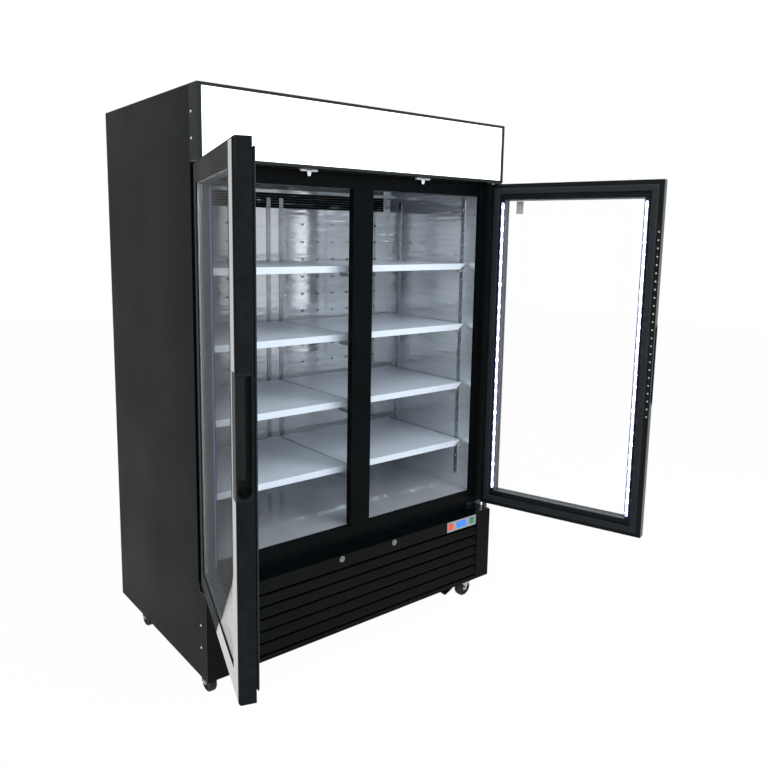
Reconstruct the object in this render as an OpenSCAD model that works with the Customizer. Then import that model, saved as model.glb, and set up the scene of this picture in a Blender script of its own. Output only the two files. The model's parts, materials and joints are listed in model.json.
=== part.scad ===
// Two-door glass merchandiser refrigerator on casters, with both doors standing open.
// Millimetres. +X to the right, +Y to the back, +Z up, floor at z = 0.
// Modules work with y = 0 at the face of the header, and cab() moves them so that
// the origin lies on the floor under the middle of the whole object's box.

/* [Cabinet] */
// Width over the side panels
cab_w = 1382; // [1300:1:1450]
// Depth from the face of the header to the back
cab_d = 800; // [760:1:860]
// Height from the floor to the top
cab_h = 2062; // [1990:1:2120]
// Height of the base's underside above the floor
base_z = 98; // [96:1:110]
// Depth of the recess that the doors close into
recess_d = 58; // [58:1:64]
// Thickness of the outer and inner sheets
sheet = 1; // [0.8:0.1:1.2]
// Thickness of an insulated wall with both sheets
wall = 51; // [46:1:60]
// Gap between separate sheets that meet edge to edge
seam = 0.2; // [0.1:0.05:0.3]

/* [Front frame] */
// Height of the lower front panel and its deck
base_h = 308; // [300:1:320]
// Height of the header
header_h = 231; // [210:1:250]
// Width of the frame at each side of the openings
jamb_w = 69; // [66:1:72]
// Height of the sill above the deck
sill_h = 80; // [74:1:90]
// Height of the frame above the openings
lintel_h = 56; // [50:1:60]
// Depth of the side and sill bars
bar_d = 20; // [16:1:24]
// Width of the centre post
mullion_w = 94; // [92:1:110]
// Depth of the centre post
mullion_d = 28; // [24:1:60]
// Step from the sill's top down to the inner floor
floor_step = 6; // [3:1:10]

/* [Header] */
// Thickness of the header's sheet
header_t = 1.5; // [1:0.1:2]
// Rim beside the sign
sign_rim_x = 15; // [10:1:20]
// Rim above and below the sign
sign_rim_z = 10; // [8:1:16]
// Thickness of the sign panel
sign_t = 3; // [2:0.5:4]
// Overlap of the sign panel behind its rim
sign_lap = 5; // [3:1:7]
// Radius of a lamp tube
lamp_r = 8; // [6:0.5:10]
// Length of a lamp tube
lamp_l = 1200; // [1000:10:1250]
// Distance between the two lamp tubes
lamp_pitch = 90; // [70:1:110]

/* [Side screws] */
// Radius of a screw head
screw_head_r = 4.5; // [4:0.1:5]
// Height of a screw head
screw_head_h = 2.4; // [2:0.1:3]
// Radius of a screw's shank
screw_r = 2; // [1.6:0.1:2.4]
// Length of a screw's shank
screw_l = 9; // [6:1:12]
// Distance of the screws behind the front face
screw_y = 45; // [40:1:50]
// Heights of the two header screws below the cabinet's top
header_screw_dz = [84, 164];
// Heights of the two base screws above the base's underside
base_screw_dz = [110, 191];

/* [Doors] */
// Opening angle of both doors as drawn
door_open = 108; // [80:1:110]
// Thickness of a door without its gasket
door_t = 46; // [42:1:46]
// Width of the rails and stiles
rail_w = 65; // [60:1:68]
// Gap between a door and the cabinet's side plane
door_side_gap = 2; // [1:0.5:4]
// Gap between the two doors
door_mid_gap = 5; // [4:0.5:8]
// Gap between the deck and a door's lower edge
door_low_gap = 36; // [34:1:40]
// Gap between a door's upper edge and the header
door_top_gap = 6; // [6:0.5:8]
// Radius along the edges of the outer face
door_edge_r = 8; // [5:0.5:10]
// Distance of the hinge axis from the side plane
hinge_dx = 14; // [13:0.5:18]
// Distance of the hinge axis behind the front face
hinge_y = 20; // [18:0.5:24]
// Depth of the glass behind the outer face
glass_y = 3; // [2:0.5:6]
// Thickness of a pane
pane_t = 4; // [3:0.5:5]
// Width of the space between two panes
pane_gap = 5; // [4:0.5:6]
// How far the glass goes into its groove
glass_lap = 12; // [8:1:16]
// Clearance round the glass
glass_clear = 0.3; // [0.2:0.05:0.5]
// Width of the gasket
gasket_w = 25; // [22:1:26]
// Distance of the gasket from the door's edge
gasket_inset = 18; // [16:1:20]
// Clearance of the closed gasket to the frame
gasket_clear = 0.3; // [0.2:0.1:0.5]
// Width of a light strip
strip_w = 12; // [8:1:13]
// Height of a light strip above the frame
strip_t = 5; // [3:0.5:6]
// Distance of a light strip from the glass edge of its stile
strip_inset = 1.5; // [1:0.5:3]
// Distance of a strip's ends from the glass edges of the rails
strip_end = 10; // [5:1:20]

/* [Door handle] */
// Height of the grip's lower end above the floor
grip_z = 977; // [930:1:1030]
// Length of the grip
grip_l = 300; // [250:5:350]
// Depth of the grip's pocket in the stile
grip_in = 40; // [36:1:44]
// Distance from the door's edge to the lip
lip_back = 4; // [3:0.5:8]
// Thickness of the lip
lip_t = 27; // [22:1:28]
// Width of the finger groove behind the lip
groove = 12; // [11:0.5:13]
// Wall of the handle
grip_wall = 4; // [3:0.5:5]
// Radius of the lip's edge
lip_r = 6; // [4:0.5:8]
// Length of a handle's end plug
grip_end = 8; // [6:1:12]
// Height of the open scoop below the lip
grip_scoop = 46; // [30:1:60]

/* [Hinges] */
// Thickness of a hinge bracket
bracket_t = 4; // [3:0.5:4]
// Length of a hinge bracket
bracket_l = 90; // [70:1:100]
// Height of the lower bracket's flange
bracket_h = 26; // [20:1:28]
// Radius of a hinge pin
pin_r = 6; // [5:0.5:7]
// Running clearance of a hinge pin
pin_clear = 0.05; // [0.02:0.01:0.1]
// How far a pin goes into the door
pin_in = 28; // [20:1:34]
// Radius of the closer round the lower pin
closer_r = 10; // [9:0.5:11]
// Gap between the closer and the door
closer_gap = 0.3; // [0.2:0.1:0.5]

/* [Door switches] */
// Distance of a door switch from the centre
switch_x = 268; // [240:1:300]
// Distance of both switches to the right of that place
switch_dx = 18; // [0:1:30]
// Length of a switch housing
switch_l = 70; // [50:1:80]
// Width of a switch housing
switch_w = 9.5; // [8:0.5:10]
// Height of a switch housing
switch_h = 6; // [5:0.5:7]
// Height of a switch lever below the header
lever_h = 22; // [18:0.5:22.5]
// Width of a lever at its root
lever_w = 20; // [16:1:24]
// Width of a lever at its tip
lever_tip = 9; // [6:1:12]
// Thickness of a lever
lever_t = 4; // [3:0.5:4.5]
// Radius of a lever's pivot
lever_pin_r = 1.5; // [1.2:0.1:1.8]

/* [Lower panel] */
// Thickness of the lower panel
panel_t = 1.5; // [1:0.1:2]
// Width of the plain column at each side of the louvres
louvre_side = 78; // [70:1:90]
// Height of the first louvre line above the base's underside
louvre_low = 18; // [14:1:24]
// Distance between louvre lines
louvre_pitch = 46; // [42:1:48]
// Number of louvre blades
louvre_n = 5; // [3:1:5]
// Depth of a louvre blade
louvre_d = 14; // [10:1:18]
// Height of the shadow gap under a blade
louvre_gap = 9; // [6:1:12]
// How far a blade's top stays below the next louvre line
louvre_drop = 7; // [4:1:10]
// Thickness of a blade
blade_t = 2; // [1.5:0.5:3]

/* [Controls] */
// Distance of the control plate's middle from the cabinet's side
control_in = 179; // [165:1:200]
// Length of the control plate
control_l = 174; // [160:1:180]
// Height of the control plate
control_h = 44; // [40:1:46]
// Gap above the control plate
control_gap = 2.5; // [1:0.5:4]
// Thickness of the control plate
control_t = 2.5; // [2:0.5:4]
// Distance from the plate's middle to a rocker
rocker_dx = 63; // [60:1:66]
// Width of a rocker
rocker_w = 24; // [20:1:28]
// Height of a rocker
rocker_h = 26; // [22:1:28]
// Length of the temperature display
display_l = 56; // [40:1:60]
// Height of the temperature display
display_h = 28; // [20:1:30]
// Clearance round a rocker
rocker_clear = 0.4; // [0.3:0.1:0.6]
// Depth of the housings behind the panel
housing_d = 16; // [16:1:20]

/* [Locks] */
// Distance of a lock from the centre
lock_x = 130; // [110:1:150]
// Distance of a lock below the deck's top
lock_dz = 14; // [13:0.5:16]
// Radius of a lock's flange
lock_flange_r = 12; // [11:0.5:12.5]
// Radius of a lock's barrel
lock_r = 9.5; // [8:0.5:10]
// Radius of the turning plug
plug_r = 7; // [6:0.5:7.5]
// Length of a barrel behind the panel
lock_l = 20; // [16:1:24]
// Length of a cam from its axis to its tip
cam_l = 62; // [60:1:64]
// Width of a cam
cam_w = 14; // [10:1:16]
// Thickness of a cam
cam_t = 3; // [2:0.5:4]
// Clearance round a cam in its slots
cam_clear = 3; // [2:0.5:4]

/* [Shelves] */
// Height of the lowest shelf's top above the floor
shelf_z = 703; // [640:1:720]
// Distance between shelves
shelf_pitch = 263; // [230:1:270]
// Shelves on each side
shelf_n = 4; // [2:1:4]
// Distance of a shelf's front edge behind the header's face
shelf_y = 140; // [134:1:150]
// Depth of a shelf
shelf_d = 510; // [460:5:520]
// Height of a shelf's folded edge
shelf_lip = 25; // [20:1:30]
// Thickness of a shelf's sheet
shelf_t = 1.5; // [1:0.1:2]
// Gap between a shelf and what is beside it
shelf_gap = 7; // [6:1:10]
// Width of a shelf post
post_w = 20; // [16:1:24]
// Depth of a shelf post
post_t = 3; // [2:0.5:4]
// Distance between slots in a post
slot_pitch = 50; // [40:5:60]
// Height of a slot
slot_h = 12; // [10:1:16]
// Width of a slot
slot_w = 5; // [4:1:8]
// Distance of a centre post from the centre
post_x = 32; // [28:1:36]
// Height of a shelf clip
clip_h = 14; // [10:1:18]
// Width of a shelf clip
clip_w = 10; // [8:1:14]

/* [Air path] */
// Distance of the duct panel in front of the inner back wall
duct_d = 58; // [50:1:70]
// Distance of the first column of holes from the centre
hole_x = 146; // [120:1:160]
// Distance between columns of holes
hole_dx = 84; // [70:1:100]
// Height of the first row of holes above the inner floor
hole_low = 71; // [60:1:90]
// Distance between rows of holes
hole_dz = 78.5; // [60:0.5:90]
// Width of a hole
hole_w = 14; // [10:1:18]
// Height of a hole
hole_h = 8; // [6:1:10]
// Height of the air slot's lower edge above the inner floor
air_slot_low = 1242; // [1220:1:1250]
// Height of the air slot
air_slot_h = 66; // [40:1:68]
// Distance of the air slot's end from the inner side
air_slot_in = 22; // [20:1:40]
// Overlap of the grille behind the panel
grille_lap = 4; // [3:1:4]
// Depth of the grille
grille_d = 9; // [6:1:14]
// Distance between the grille's slats
grille_pitch = 11; // [9:1:16]
// Height of the fan cover's underside above the openings
cover_dz = 20; // [15:1:30]
// Thickness of the fan cover's sheet
cover_t = 1.5; // [1:0.1:2]
// Radius of the evaporator fan
evap_fan_r = 95; // [80:1:110]
// Length of the evaporator coil
coil_l = 900; // [700:10:1000]
// Depth of the evaporator coil
coil_d = 160; // [120:5:180]
// Height of the evaporator coil
coil_h = 120; // [100:5:140]

/* [Machine bay] */
// Distance of the compressor's middle from the cabinet's side
comp_in = 311; // [300:1:330]
// Distance of the compressor's middle from the back
comp_back = 280; // [270:1:300]
// Distance of the condenser's end from the cabinet's side
cond_in = 231; // [220:1:240]
// Radius of the compressor
comp_r = 85; // [75:1:95]
// Height of the compressor
comp_h = 200; // [180:5:220]
// Length of the condenser
cond_l = 420; // [360:10:460]
// Depth of the condenser
cond_d = 70; // [50:5:80]
// Height of the condenser
cond_h = 250; // [220:5:260]
// Radius of the condenser fan
cond_fan_r = 100; // [90:1:110]
// Radius of a fan's shaft
shaft_r = 4; // [3:0.5:5]
// Length of the drain pan
pan_l = 400; // [300:10:420]
// Depth of the drain pan
pan_d = 260; // [200:10:280]
// Height of the drain pan
pan_h = 50; // [40:5:60]

/* [Casters] */
// Distance of a caster's pivot from the cabinet's side
caster_in = 55; // [50:1:90]
// Distance of the front casters behind the header's face
caster_y = 69; // [60:1:110]
// Distance of the rear casters in front of the back
caster_back = 176; // [90:1:190]
// Radius of a caster wheel
wheel_r = 37.5; // [35:0.5:37.5]
// Width of a caster wheel
wheel_w = 26; // [22:1:30]
// Distance from the pivot to the wheel's axle
trail = 34; // [30:1:36]
// Thickness of a fork's cheek
fork_t = 2.5; // [2:0.5:3]
// Radius of an axle
axle_r = 4; // [3:0.5:5]
// Turning angles of the four casters as drawn
caster_turn = [90, 180, 90, 100];
// Length of a brake pedal
pedal_l = 90; // [60:1:100]
// Drop of a brake pedal from its pin to its tip
pedal_drop = 38; // [10:1:40]

/* [Hidden] */
$fn = 48;
tiny = 0.05;
LEFT = -1;
RIGHT = 1;

half_w = cab_w / 2;
base_top = base_z + base_h;
header_z = cab_h - header_h;
open_z0 = base_top + sill_h;
open_z1 = header_z - lintel_h;
open_x = half_w - jamb_w;
inner_x = half_w - wall;
inner_back = cab_d - wall;
floor_z = open_z0 - floor_step;
foam_low = floor_z - wall;
ceiling_z = cab_h - wall;
lintel_d = wall + sheet;
inner_front = recess_d + lintel_d;

hinge_x = half_w - hinge_dx;
door_x0 = door_mid_gap / 2;
door_x1 = half_w - door_side_gap;
door_z0 = base_top + door_low_gap;
door_z1 = header_z - door_top_gap;
door_w = door_x1 - door_x0;
door_h = door_z1 - door_z0;
win_x0 = door_x0 + rail_w;
win_x1 = door_x1 - rail_w;
win_z0 = door_z0 + rail_w;
win_z1 = door_z1 - rail_w;
glass_t = 2 * pane_t + pane_gap;
gasket_t = recess_d - door_t - gasket_clear;

// Reach of an open door in front of the header, at its inner free corner
door_w_from_hinge = hinge_x - door_x0;
door_reach = door_w_from_hinge * sin(door_open) - (door_t - hinge_y) * cos(door_open) - hinge_y;
shift_y = (door_reach - cab_d) / 2;

duct_y = inner_back - duct_d;
cover_z = open_z1 + cover_dz;
cover_back_h = 60;
air_slot_x = inner_x - air_slot_in;
air_slot_z = floor_z + air_slot_low;
evap_fan_y = (inner_front + duct_y) / 2;
evap_fan_z = cover_z + 26;
evap_motor_z = evap_fan_z + 26;
evap_motor_h = 60;
fan_hub_r = 26;
fan_hub_h = 20;
sign_x = half_w - sign_rim_x;
sign_z0 = header_z + sign_rim_z;
sign_z1 = cab_h - sign_rim_z;
shelf_x0 = shelf_gap;
shelf_x1 = inner_x - shelf_gap;
post_z0 = floor_z + 60;
post_z1 = open_z1 - 10;
wall_post_y = [shelf_y + 30, shelf_y + shelf_d - 60];
lock_z = base_top - lock_dz;
cam_y = panel_t + lock_l + 2;
louvre_x = half_w - louvre_side;
louvre_z0 = base_z + louvre_low;
louvre_z1 = louvre_z0 + louvre_n * louvre_pitch;
control_x = half_w - control_in;
control_z = base_top - panel_t - control_gap - control_h / 2;
lever_pin_z = header_z - lever_pin_r - 1;
lever_y = door_t + 1.8;
lever_mid_y = lever_y + lever_t / 2;
grip_z1 = grip_z + grip_l;
rocker_pin_y = 3;
rocker_pin_r = 1.2;
wheel_gap = 1.5;
wheel_lift = 0.3;
rivet_h = 2.5;
swivel_r = 5;
caster_x = half_w - caster_in;
axle_half = wheel_w / 2 + wheel_gap + fork_t + 2;
pedal_x = trail + 30;
pedal_z = 2 * wheel_r - 3;
pedal_pin_r = 2.5;
pan_t = 2;
comp_x = half_w - comp_in;
comp_y = cab_d - comp_back;
cond_x = -half_w + cond_in;
cond_y = recess_d + 12;
cond_z = base_z + 14;
shroud_y = cond_y + cond_d + 12;
cond_fan_y = shroud_y + 22;
cond_fan_z = cond_z + cond_h / 2;
cond_fan_x = cond_x + cond_l / 2;
motor_r = 36;
motor_l = 60;
motor_y = cond_fan_y + 16;
inlet_x = half_w - 131;
inlet_z = base_z + 120;
crown_z = 2 * wheel_r + 5;
crown_t = 8;
caster_names = [[LEFT, 0], [RIGHT, 0], [LEFT, 1], [RIGHT, 1]];

BLACK = [0.07, 0.07, 0.08];
GLOSS_BLACK = [0.03, 0.03, 0.035];
STEEL = [0.68, 0.70, 0.72];
WHITE = [0.92, 0.93, 0.94];
FOAM = [0.88, 0.80, 0.55];
GLASS = [0.75, 0.85, 0.88, 0.35];
RUBBER = [0.12, 0.12, 0.12];
COPPER = [0.72, 0.45, 0.20];

// Places a piece that is drawn with y = 0 at the header's face
module cab() translate([0, shift_y, 0]) children();

// A block between two opposite corners
module block(a, b) translate(a) cube(b - a);

// The same piece on the left and the right
module both_sides() {
    children();
    mirror([1, 0, 0]) children();
}

// A cylinder along X, Y or Z from a point
module rod_x(p, r, l) translate(p) rotate([0, 90, 0]) cylinder(r = r, h = l);
module rod_y(p, r, l) translate(p) rotate([-90, 0, 0]) cylinder(r = r, h = l);
module rod_z(p, r, l) translate(p) cylinder(r = r, h = l);

// A 2D outline pushed along X: the outline's x is y, and its y is z
module along_x(x, l) translate([x, 0, 0]) rotate([90, 0, 90]) linear_extrude(l) children();

// A 2D outline pushed along Y from y: the outline's y is z
module along_y(y, l) translate([0, y + l, 0]) rotate([90, 0, 0]) linear_extrude(l) children();

// Turns a right-hand piece into its place on the left or right door
module door_place(side) cab() translate([side * hinge_x, hinge_y, 0])
    rotate([0, 0, side * door_open]) translate([-side * hinge_x, -hinge_y, 0])
    scale_side(side) children();
module scale_side(side) if (side == LEFT) mirror([1, 0, 0]) children(); else children();

// Cabinet

module side_panels() color(BLACK) cab() both_sides()
    block([half_w - sheet, recess_d, base_z], [half_w, cab_d, cab_h]);

module back_and_top_panels() color(STEEL) cab() {
    x = half_w - sheet;
    block([-x, cab_d - sheet, foam_low], [x, cab_d, cab_h]);
    block([-x, recess_d, cab_h - sheet], [x, cab_d - sheet - seam, cab_h]);
    block([-x, recess_d + bar_d + seam, foam_low], [x, cab_d - sheet - seam, foam_low + sheet]);
}

module insulation() color(FOAM) cab() {
    x = half_w - sheet;
    xi = inner_x + sheet - seam;
    y0 = recess_d + bar_d;
    y1 = inner_back + sheet;
    both_sides() block([inner_x + sheet, y0, foam_low + sheet], [x, cab_d - sheet, cab_h - sheet]);
    block([-xi, y1, foam_low + sheet], [xi, cab_d - sheet, cab_h - sheet]);
    block([-xi, y0, foam_low + sheet], [xi, y1 - seam, floor_z - sheet]);
    block([-xi, y0, ceiling_z + sheet], [xi, y1 - seam, cab_h - sheet]);
    block([-inner_x + seam, y0, header_z],
        [inner_x - seam, inner_front - sheet - seam, ceiling_z + sheet - seam]);
    block([-x, recess_d + seam, header_z], [x, y0 - seam, cab_h - sheet]);
}

module liner() color(STEEL) cab() {
    back = inner_back;
    both_sides() block([inner_x, recess_d + bar_d, floor_z - sheet],
        [inner_x + sheet, back + sheet, ceiling_z + sheet]);
    block([-inner_x + seam, back, floor_z + seam], [inner_x - seam, back + sheet, ceiling_z - seam]);
    block([-inner_x + seam, recess_d + bar_d, floor_z - sheet],
        [inner_x - seam, back + sheet, floor_z]);
    block([-inner_x + seam, inner_front + seam, ceiling_z],
        [inner_x - seam, back + sheet, ceiling_z + sheet]);
    block([-inner_x + seam, inner_front - sheet, header_z],
        [inner_x - seam, inner_front, ceiling_z + sheet]);
}

module front_frame() color(GLOSS_BLACK) cab() {
    x = half_w - sheet;
    y = recess_d;
    both_sides() block([open_x, y, base_top], [x, y + bar_d, header_z]);
    block([-open_x + seam, y, base_top], [open_x - seam, y + bar_d, open_z0]);
    block([-open_x + seam, y, open_z1], [open_x - seam, y + lintel_d, header_z]);
    block([-mullion_w / 2, y, open_z0 + seam], [mullion_w / 2, y + mullion_d, open_z1 - seam]);
}

// Shelving

// A slotted post that stands on z = 0, with its back on y = 0
module post(h) difference() {
    block([-post_w / 2, 0, 0], [post_w / 2, post_t, h]);
    for (z = [slot_pitch / 2 : slot_pitch : h - slot_h])
        block([-slot_w / 2, -1, z], [slot_w / 2, post_t + 1, z + slot_h]);
}

module shelf_posts() color(STEEL) cab() {
    h = post_z1 - post_z0;
    both_sides() {
        for (y = wall_post_y) translate([inner_x, y, post_z0]) rotate([0, 0, 90]) post(h);
        translate([post_x, recess_d + mullion_d, post_z0]) post(h);
        translate([post_x, duct_y - post_t, post_z0]) post(h);
    }
}

// Clips under the four corners of each shelf
module shelf_clips() color(BLACK) cab() both_sides()
    for (i = [0 : shelf_n - 1]) {
        z1 = shelf_z + i * shelf_pitch - shelf_lip;
        z0 = z1 - clip_h;
        reach = shelf_gap + 14;
        front = recess_d + mullion_d + post_t;
        for (y = wall_post_y) block([inner_x - post_t - reach, y - clip_w / 2, z0],
            [inner_x - post_t, y + clip_w / 2, z1]);
        block([post_x - clip_w / 2, front, z0], [post_x + clip_w / 2, shelf_y + 14, z1]);
        block([post_x - clip_w / 2, shelf_y + shelf_d - 14, z0],
            [post_x + clip_w / 2, duct_y - post_t, z1]);
    }

// One shelf: a sheet with all four edges folded down
module shelf() difference() {
    block([shelf_x0, shelf_y, -shelf_lip], [shelf_x1, shelf_y + shelf_d, 0]);
    block([shelf_x0 + shelf_t, shelf_y + shelf_t, -shelf_lip - 1],
        [shelf_x1 - shelf_t, shelf_y + shelf_d - shelf_t, -shelf_t]);
}

module shelves() color(WHITE) cab() both_sides()
    for (i = [0 : shelf_n - 1]) translate([0, 0, shelf_z + i * shelf_pitch]) shelf();

// Air path

// The perforated panel in front of the back wall
module duct_panel() difference() {
    z0 = floor_z;
    z1 = cover_z - seam;
    block([-inner_x + seam, duct_y, z0], [inner_x - seam, duct_y + sheet, z1]);
    both_sides() for (x = [hole_x : hole_dx : inner_x - hole_w],
        z = [z0 + hole_low : hole_dz : air_slot_z - hole_dz / 2])
        block([x - hole_w / 2, duct_y - 1, z], [x + hole_w / 2, duct_y + sheet + 1, z + hole_h]);
    block([-air_slot_x, duct_y - 1, air_slot_z],
        [air_slot_x, duct_y + sheet + 1, air_slot_z + air_slot_h]);
}

// The cover below the evaporator, with the fan's slots in it
module fan_cover() {
    x = inner_x - seam;
    y0 = inner_front + seam;
    difference() {
        block([-x, y0, cover_z], [x, duct_y + sheet, cover_z + cover_t]);
        for (i = [-4 : 4]) {
            dx = i * 20;
            half = sqrt(evap_fan_r * evap_fan_r - dx * dx);
            block([dx - 6, evap_fan_y - half, cover_z - 1],
                [dx + 6, evap_fan_y + half, cover_z + cover_t + 1]);
        }
    }
    block([-x, duct_y, cover_z + cover_t + seam], [x, duct_y + sheet, cover_z + cover_back_h]);
}

module air_duct_panels() color(STEEL) cab() {
    duct_panel();
    fan_cover();
}

// The slatted grille behind the duct panel's air slot
module air_grille() color(BLACK) cab() {
    x = air_slot_x + grille_lap;
    y = duct_y + sheet + seam;
    difference() {
        block([-x, y, air_slot_z - grille_lap], [x, y + grille_d, air_slot_z + air_slot_h + grille_lap]);
        block([-air_slot_x, y - 1, air_slot_z],
            [air_slot_x, y + grille_d + 1, air_slot_z + air_slot_h]);
    }
    y0 = y + 1;
    y1 = y + grille_d - 1;
    rise = y1 - y0 + 1;
    for (z = [air_slot_z + 1 : grille_pitch : air_slot_z + air_slot_h - rise - 1])
        along_x(-air_slot_x - 1, 2 * air_slot_x + 2)
            polygon([[y0, z], [y0 + blade_t, z], [y1, z + rise], [y1 - blade_t, z + rise]]);
}

// A fan with its axis on +Z: a bored hub and five pitched blades
module fan(r) difference() {
    union() {
        cylinder(r = fan_hub_r, h = fan_hub_h);
        for (i = [0 : 4]) rotate([0, 0, i * 72]) translate([fan_hub_r - 4, 0, fan_hub_h / 2])
            rotate([28, 0, 0]) translate([0, -r * 0.26, -1]) cube([r - fan_hub_r, r * 0.52, 2]);
    }
    translate([0, 0, -1]) cylinder(r = shaft_r + pin_clear, h = fan_hub_h + 2);
}

module evaporator_fan() color(BLACK) cab() translate([0, evap_fan_y, evap_fan_z - fan_hub_h / 2])
    fan(evap_fan_r - 6);

module evaporator_motor() color(STEEL) cab() translate([0, evap_fan_y, evap_motor_z]) {
    drop = evap_motor_z - evap_fan_z + fan_hub_h / 2 - 2;
    cylinder(r = 38, h = evap_motor_h);
    translate([0, 0, -drop]) cylinder(r = shaft_r, h = drop + tiny);
    translate([-20, -12, evap_motor_h - tiny])
        cube([40, 24, ceiling_z - evap_motor_z - evap_motor_h + tiny]);
}

// A finned coil that fills a block, with its bends at both ends
module coil(l, d, h, pitch) {
    n = floor(l / pitch);
    for (i = [0 : n]) block([i * l / n - 0.5, 0, 0], [i * l / n + 0.5, d, h]);
    for (y = [d * 0.25, d * 0.75], z = [h / 6 : h / 3 : h]) rod_x([-6, y, z], 5, l + 12);
}

module evaporator_coil() color(STEEL) cab()
    translate([-coil_l / 2, duct_y - coil_d - 6, ceiling_z - coil_h]) coil(coil_l, coil_d, coil_h, 45);

// Header

module header_shell() color(BLACK) cab() difference() {
    t = header_t;
    block([-half_w, 0, header_z], [half_w, recess_d, cab_h]);
    block([-half_w + t, t, header_z + t], [half_w - t, recess_d - t, cab_h - t]);
    block([-sign_x, -1, sign_z0], [sign_x, t + 1, sign_z1]);
    both_sides() for (dz = header_screw_dz)
        rod_x([half_w - t - 1, screw_y, cab_h - dz], screw_r + pin_clear, t + 2);
}

module sign_panel() color(WHITE) cab()
    block([-sign_x - sign_lap, header_t, sign_z0 - sign_lap],
        [sign_x + sign_lap, header_t + sign_t, sign_z1 + sign_lap]);

module sign_lamps() color(WHITE) cab() {
    y = recess_d / 2;
    mid = header_z + header_h / 2;
    for (z = [mid - lamp_pitch / 2, mid + lamp_pitch / 2]) {
        rod_x([-lamp_l / 2, y, z], lamp_r, lamp_l);
        for (x = [-lamp_l / 2, lamp_l / 2 - 20])
            block([x, y - lamp_r - 2, z - lamp_r - 2], [x + 20, recess_d - header_t, z + lamp_r + 2]);
    }
}

// A screw whose head seats on x = 0 and whose shank goes towards -X
module side_screw() {
    rod_x([0, 0, 0], screw_head_r, screw_head_h);
    rod_x([-screw_l, 0, 0], screw_r, screw_l + tiny);
}

module side_screws() color(STEEL) cab() both_sides() {
    for (dz = header_screw_dz) translate([half_w, screw_y, cab_h - dz]) side_screw();
    for (dz = base_screw_dz) translate([half_w, screw_y, base_z + dz]) side_screw();
}

// Door switches under the header

module switch_housing() difference() {
    y0 = lever_mid_y - lever_t / 2 - 0.8;
    block([-switch_l / 2, y0, header_z - switch_h], [switch_l / 2, y0 + switch_w, header_z]);
    block([-lever_w / 2 - 0.4, y0 - 1, header_z - switch_h - 1],
        [lever_w / 2 + 0.4, y0 + switch_w + 1, header_z + 1]);
    rod_x([-lever_w / 2 - 4, lever_mid_y, lever_pin_z], lever_pin_r + pin_clear, lever_w + 8);
}

module switch_housings() color(WHITE) cab() for (side = [LEFT, RIGHT])
    translate([side * switch_x + switch_dx, 0, 0]) switch_housing();

module switch_lever(side) color(WHITE) cab() translate([side * switch_x + switch_dx, 0, 0]) {
    z0 = header_z - lever_h;
    z1 = lever_pin_z;
    along_y(lever_y, lever_t)
        polygon([[-lever_tip / 2, z0], [lever_tip / 2, z0], [lever_w / 2, z1], [-lever_w / 2, z1]]);
    rod_x([-lever_w / 2 - 3, lever_mid_y, lever_pin_z], lever_pin_r, lever_w + 6);
}

// Base

module base_pan() color(STEEL) cab() difference() {
    block([-half_w + sheet, panel_t, base_z], [half_w - sheet, cab_d - 2 - seam, base_z + pan_t]);
    for (p = caster_names) translate([p[0] * caster_x, caster_place_y(p[1]), base_z - 1])
        for (x = [-32, 32], y = [-22, 22]) translate([x, y, 0]) cylinder(r = 4.2, h = 4);
}

function caster_place_y(rear) = rear == 1 ? cab_d - caster_back : caster_y;

module base_front() color(BLACK) cab() {
    difference() {
        x = half_w - sheet - seam;
        block([-x, 0, base_top - panel_t], [x, recess_d, base_top]);
        both_sides() block([lock_x - cam_w / 2 - cam_clear, cam_y - cam_clear, base_top - panel_t - 1],
            [lock_x + cam_l + cam_clear, cam_y + cam_t + cam_clear, base_top + 1]);
    }
    both_sides() difference() {
        block([half_w - sheet, 0, base_z], [half_w, recess_d - seam, base_top]);
        for (dz = base_screw_dz)
            rod_x([half_w - sheet - 1, screw_y, base_z + dz], screw_r + pin_clear, sheet + 2);
    }
}

// The cutout for a housing of a given size behind the lower panel
module control_cut(x, w, h) block([x - w / 2, -control_t - 1, control_z - h / 2],
    [x + w / 2, panel_t + 1, control_z + h / 2]);

module lower_panel() color(BLACK) cab() {
    difference() {
        block([-half_w + sheet, 0, base_z], [half_w - sheet, panel_t, base_top - panel_t]);
        block([-louvre_x, -1, louvre_z0], [louvre_x, panel_t + 1, louvre_z1 + louvre_gap]);
        both_sides() rod_y([lock_x, -1, lock_z], lock_r + pin_clear, panel_t + 2);
        for (dx = [-rocker_dx, rocker_dx]) control_cut(control_x + dx, rocker_w + 6, rocker_h + 6);
        control_cut(control_x, display_l - 3, display_h - 3);
    }
    for (i = [0 : louvre_n - 1]) louvre_blade(louvre_z0 + i * louvre_pitch);
    both_sides() block([louvre_x, 0, louvre_z0], [louvre_x + panel_t, louvre_d, louvre_z1]);
}

// One blade that leans back from its lower edge, held by a cheek at each end
module louvre_blade(z) along_x(-louvre_x - tiny, 2 * louvre_x + 2 * tiny) {
    low = z + louvre_gap;
    top = z + louvre_pitch - louvre_drop;
    polygon([[0, low], [blade_t, low], [louvre_d, top], [louvre_d - blade_t, top]]);
}

// Controls on the lower panel's upper band

module control_housing(x, w, h) difference() {
    block([x - w / 2 - 2.5, -control_t, control_z - h / 2 - 2.5],
        [x + w / 2 + 2.5, housing_d, control_z + h / 2 + 2.5]);
    block([x - w / 2, -control_t - 1, control_z - h / 2],
        [x + w / 2, housing_d - 2.5, control_z + h / 2]);
}

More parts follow.
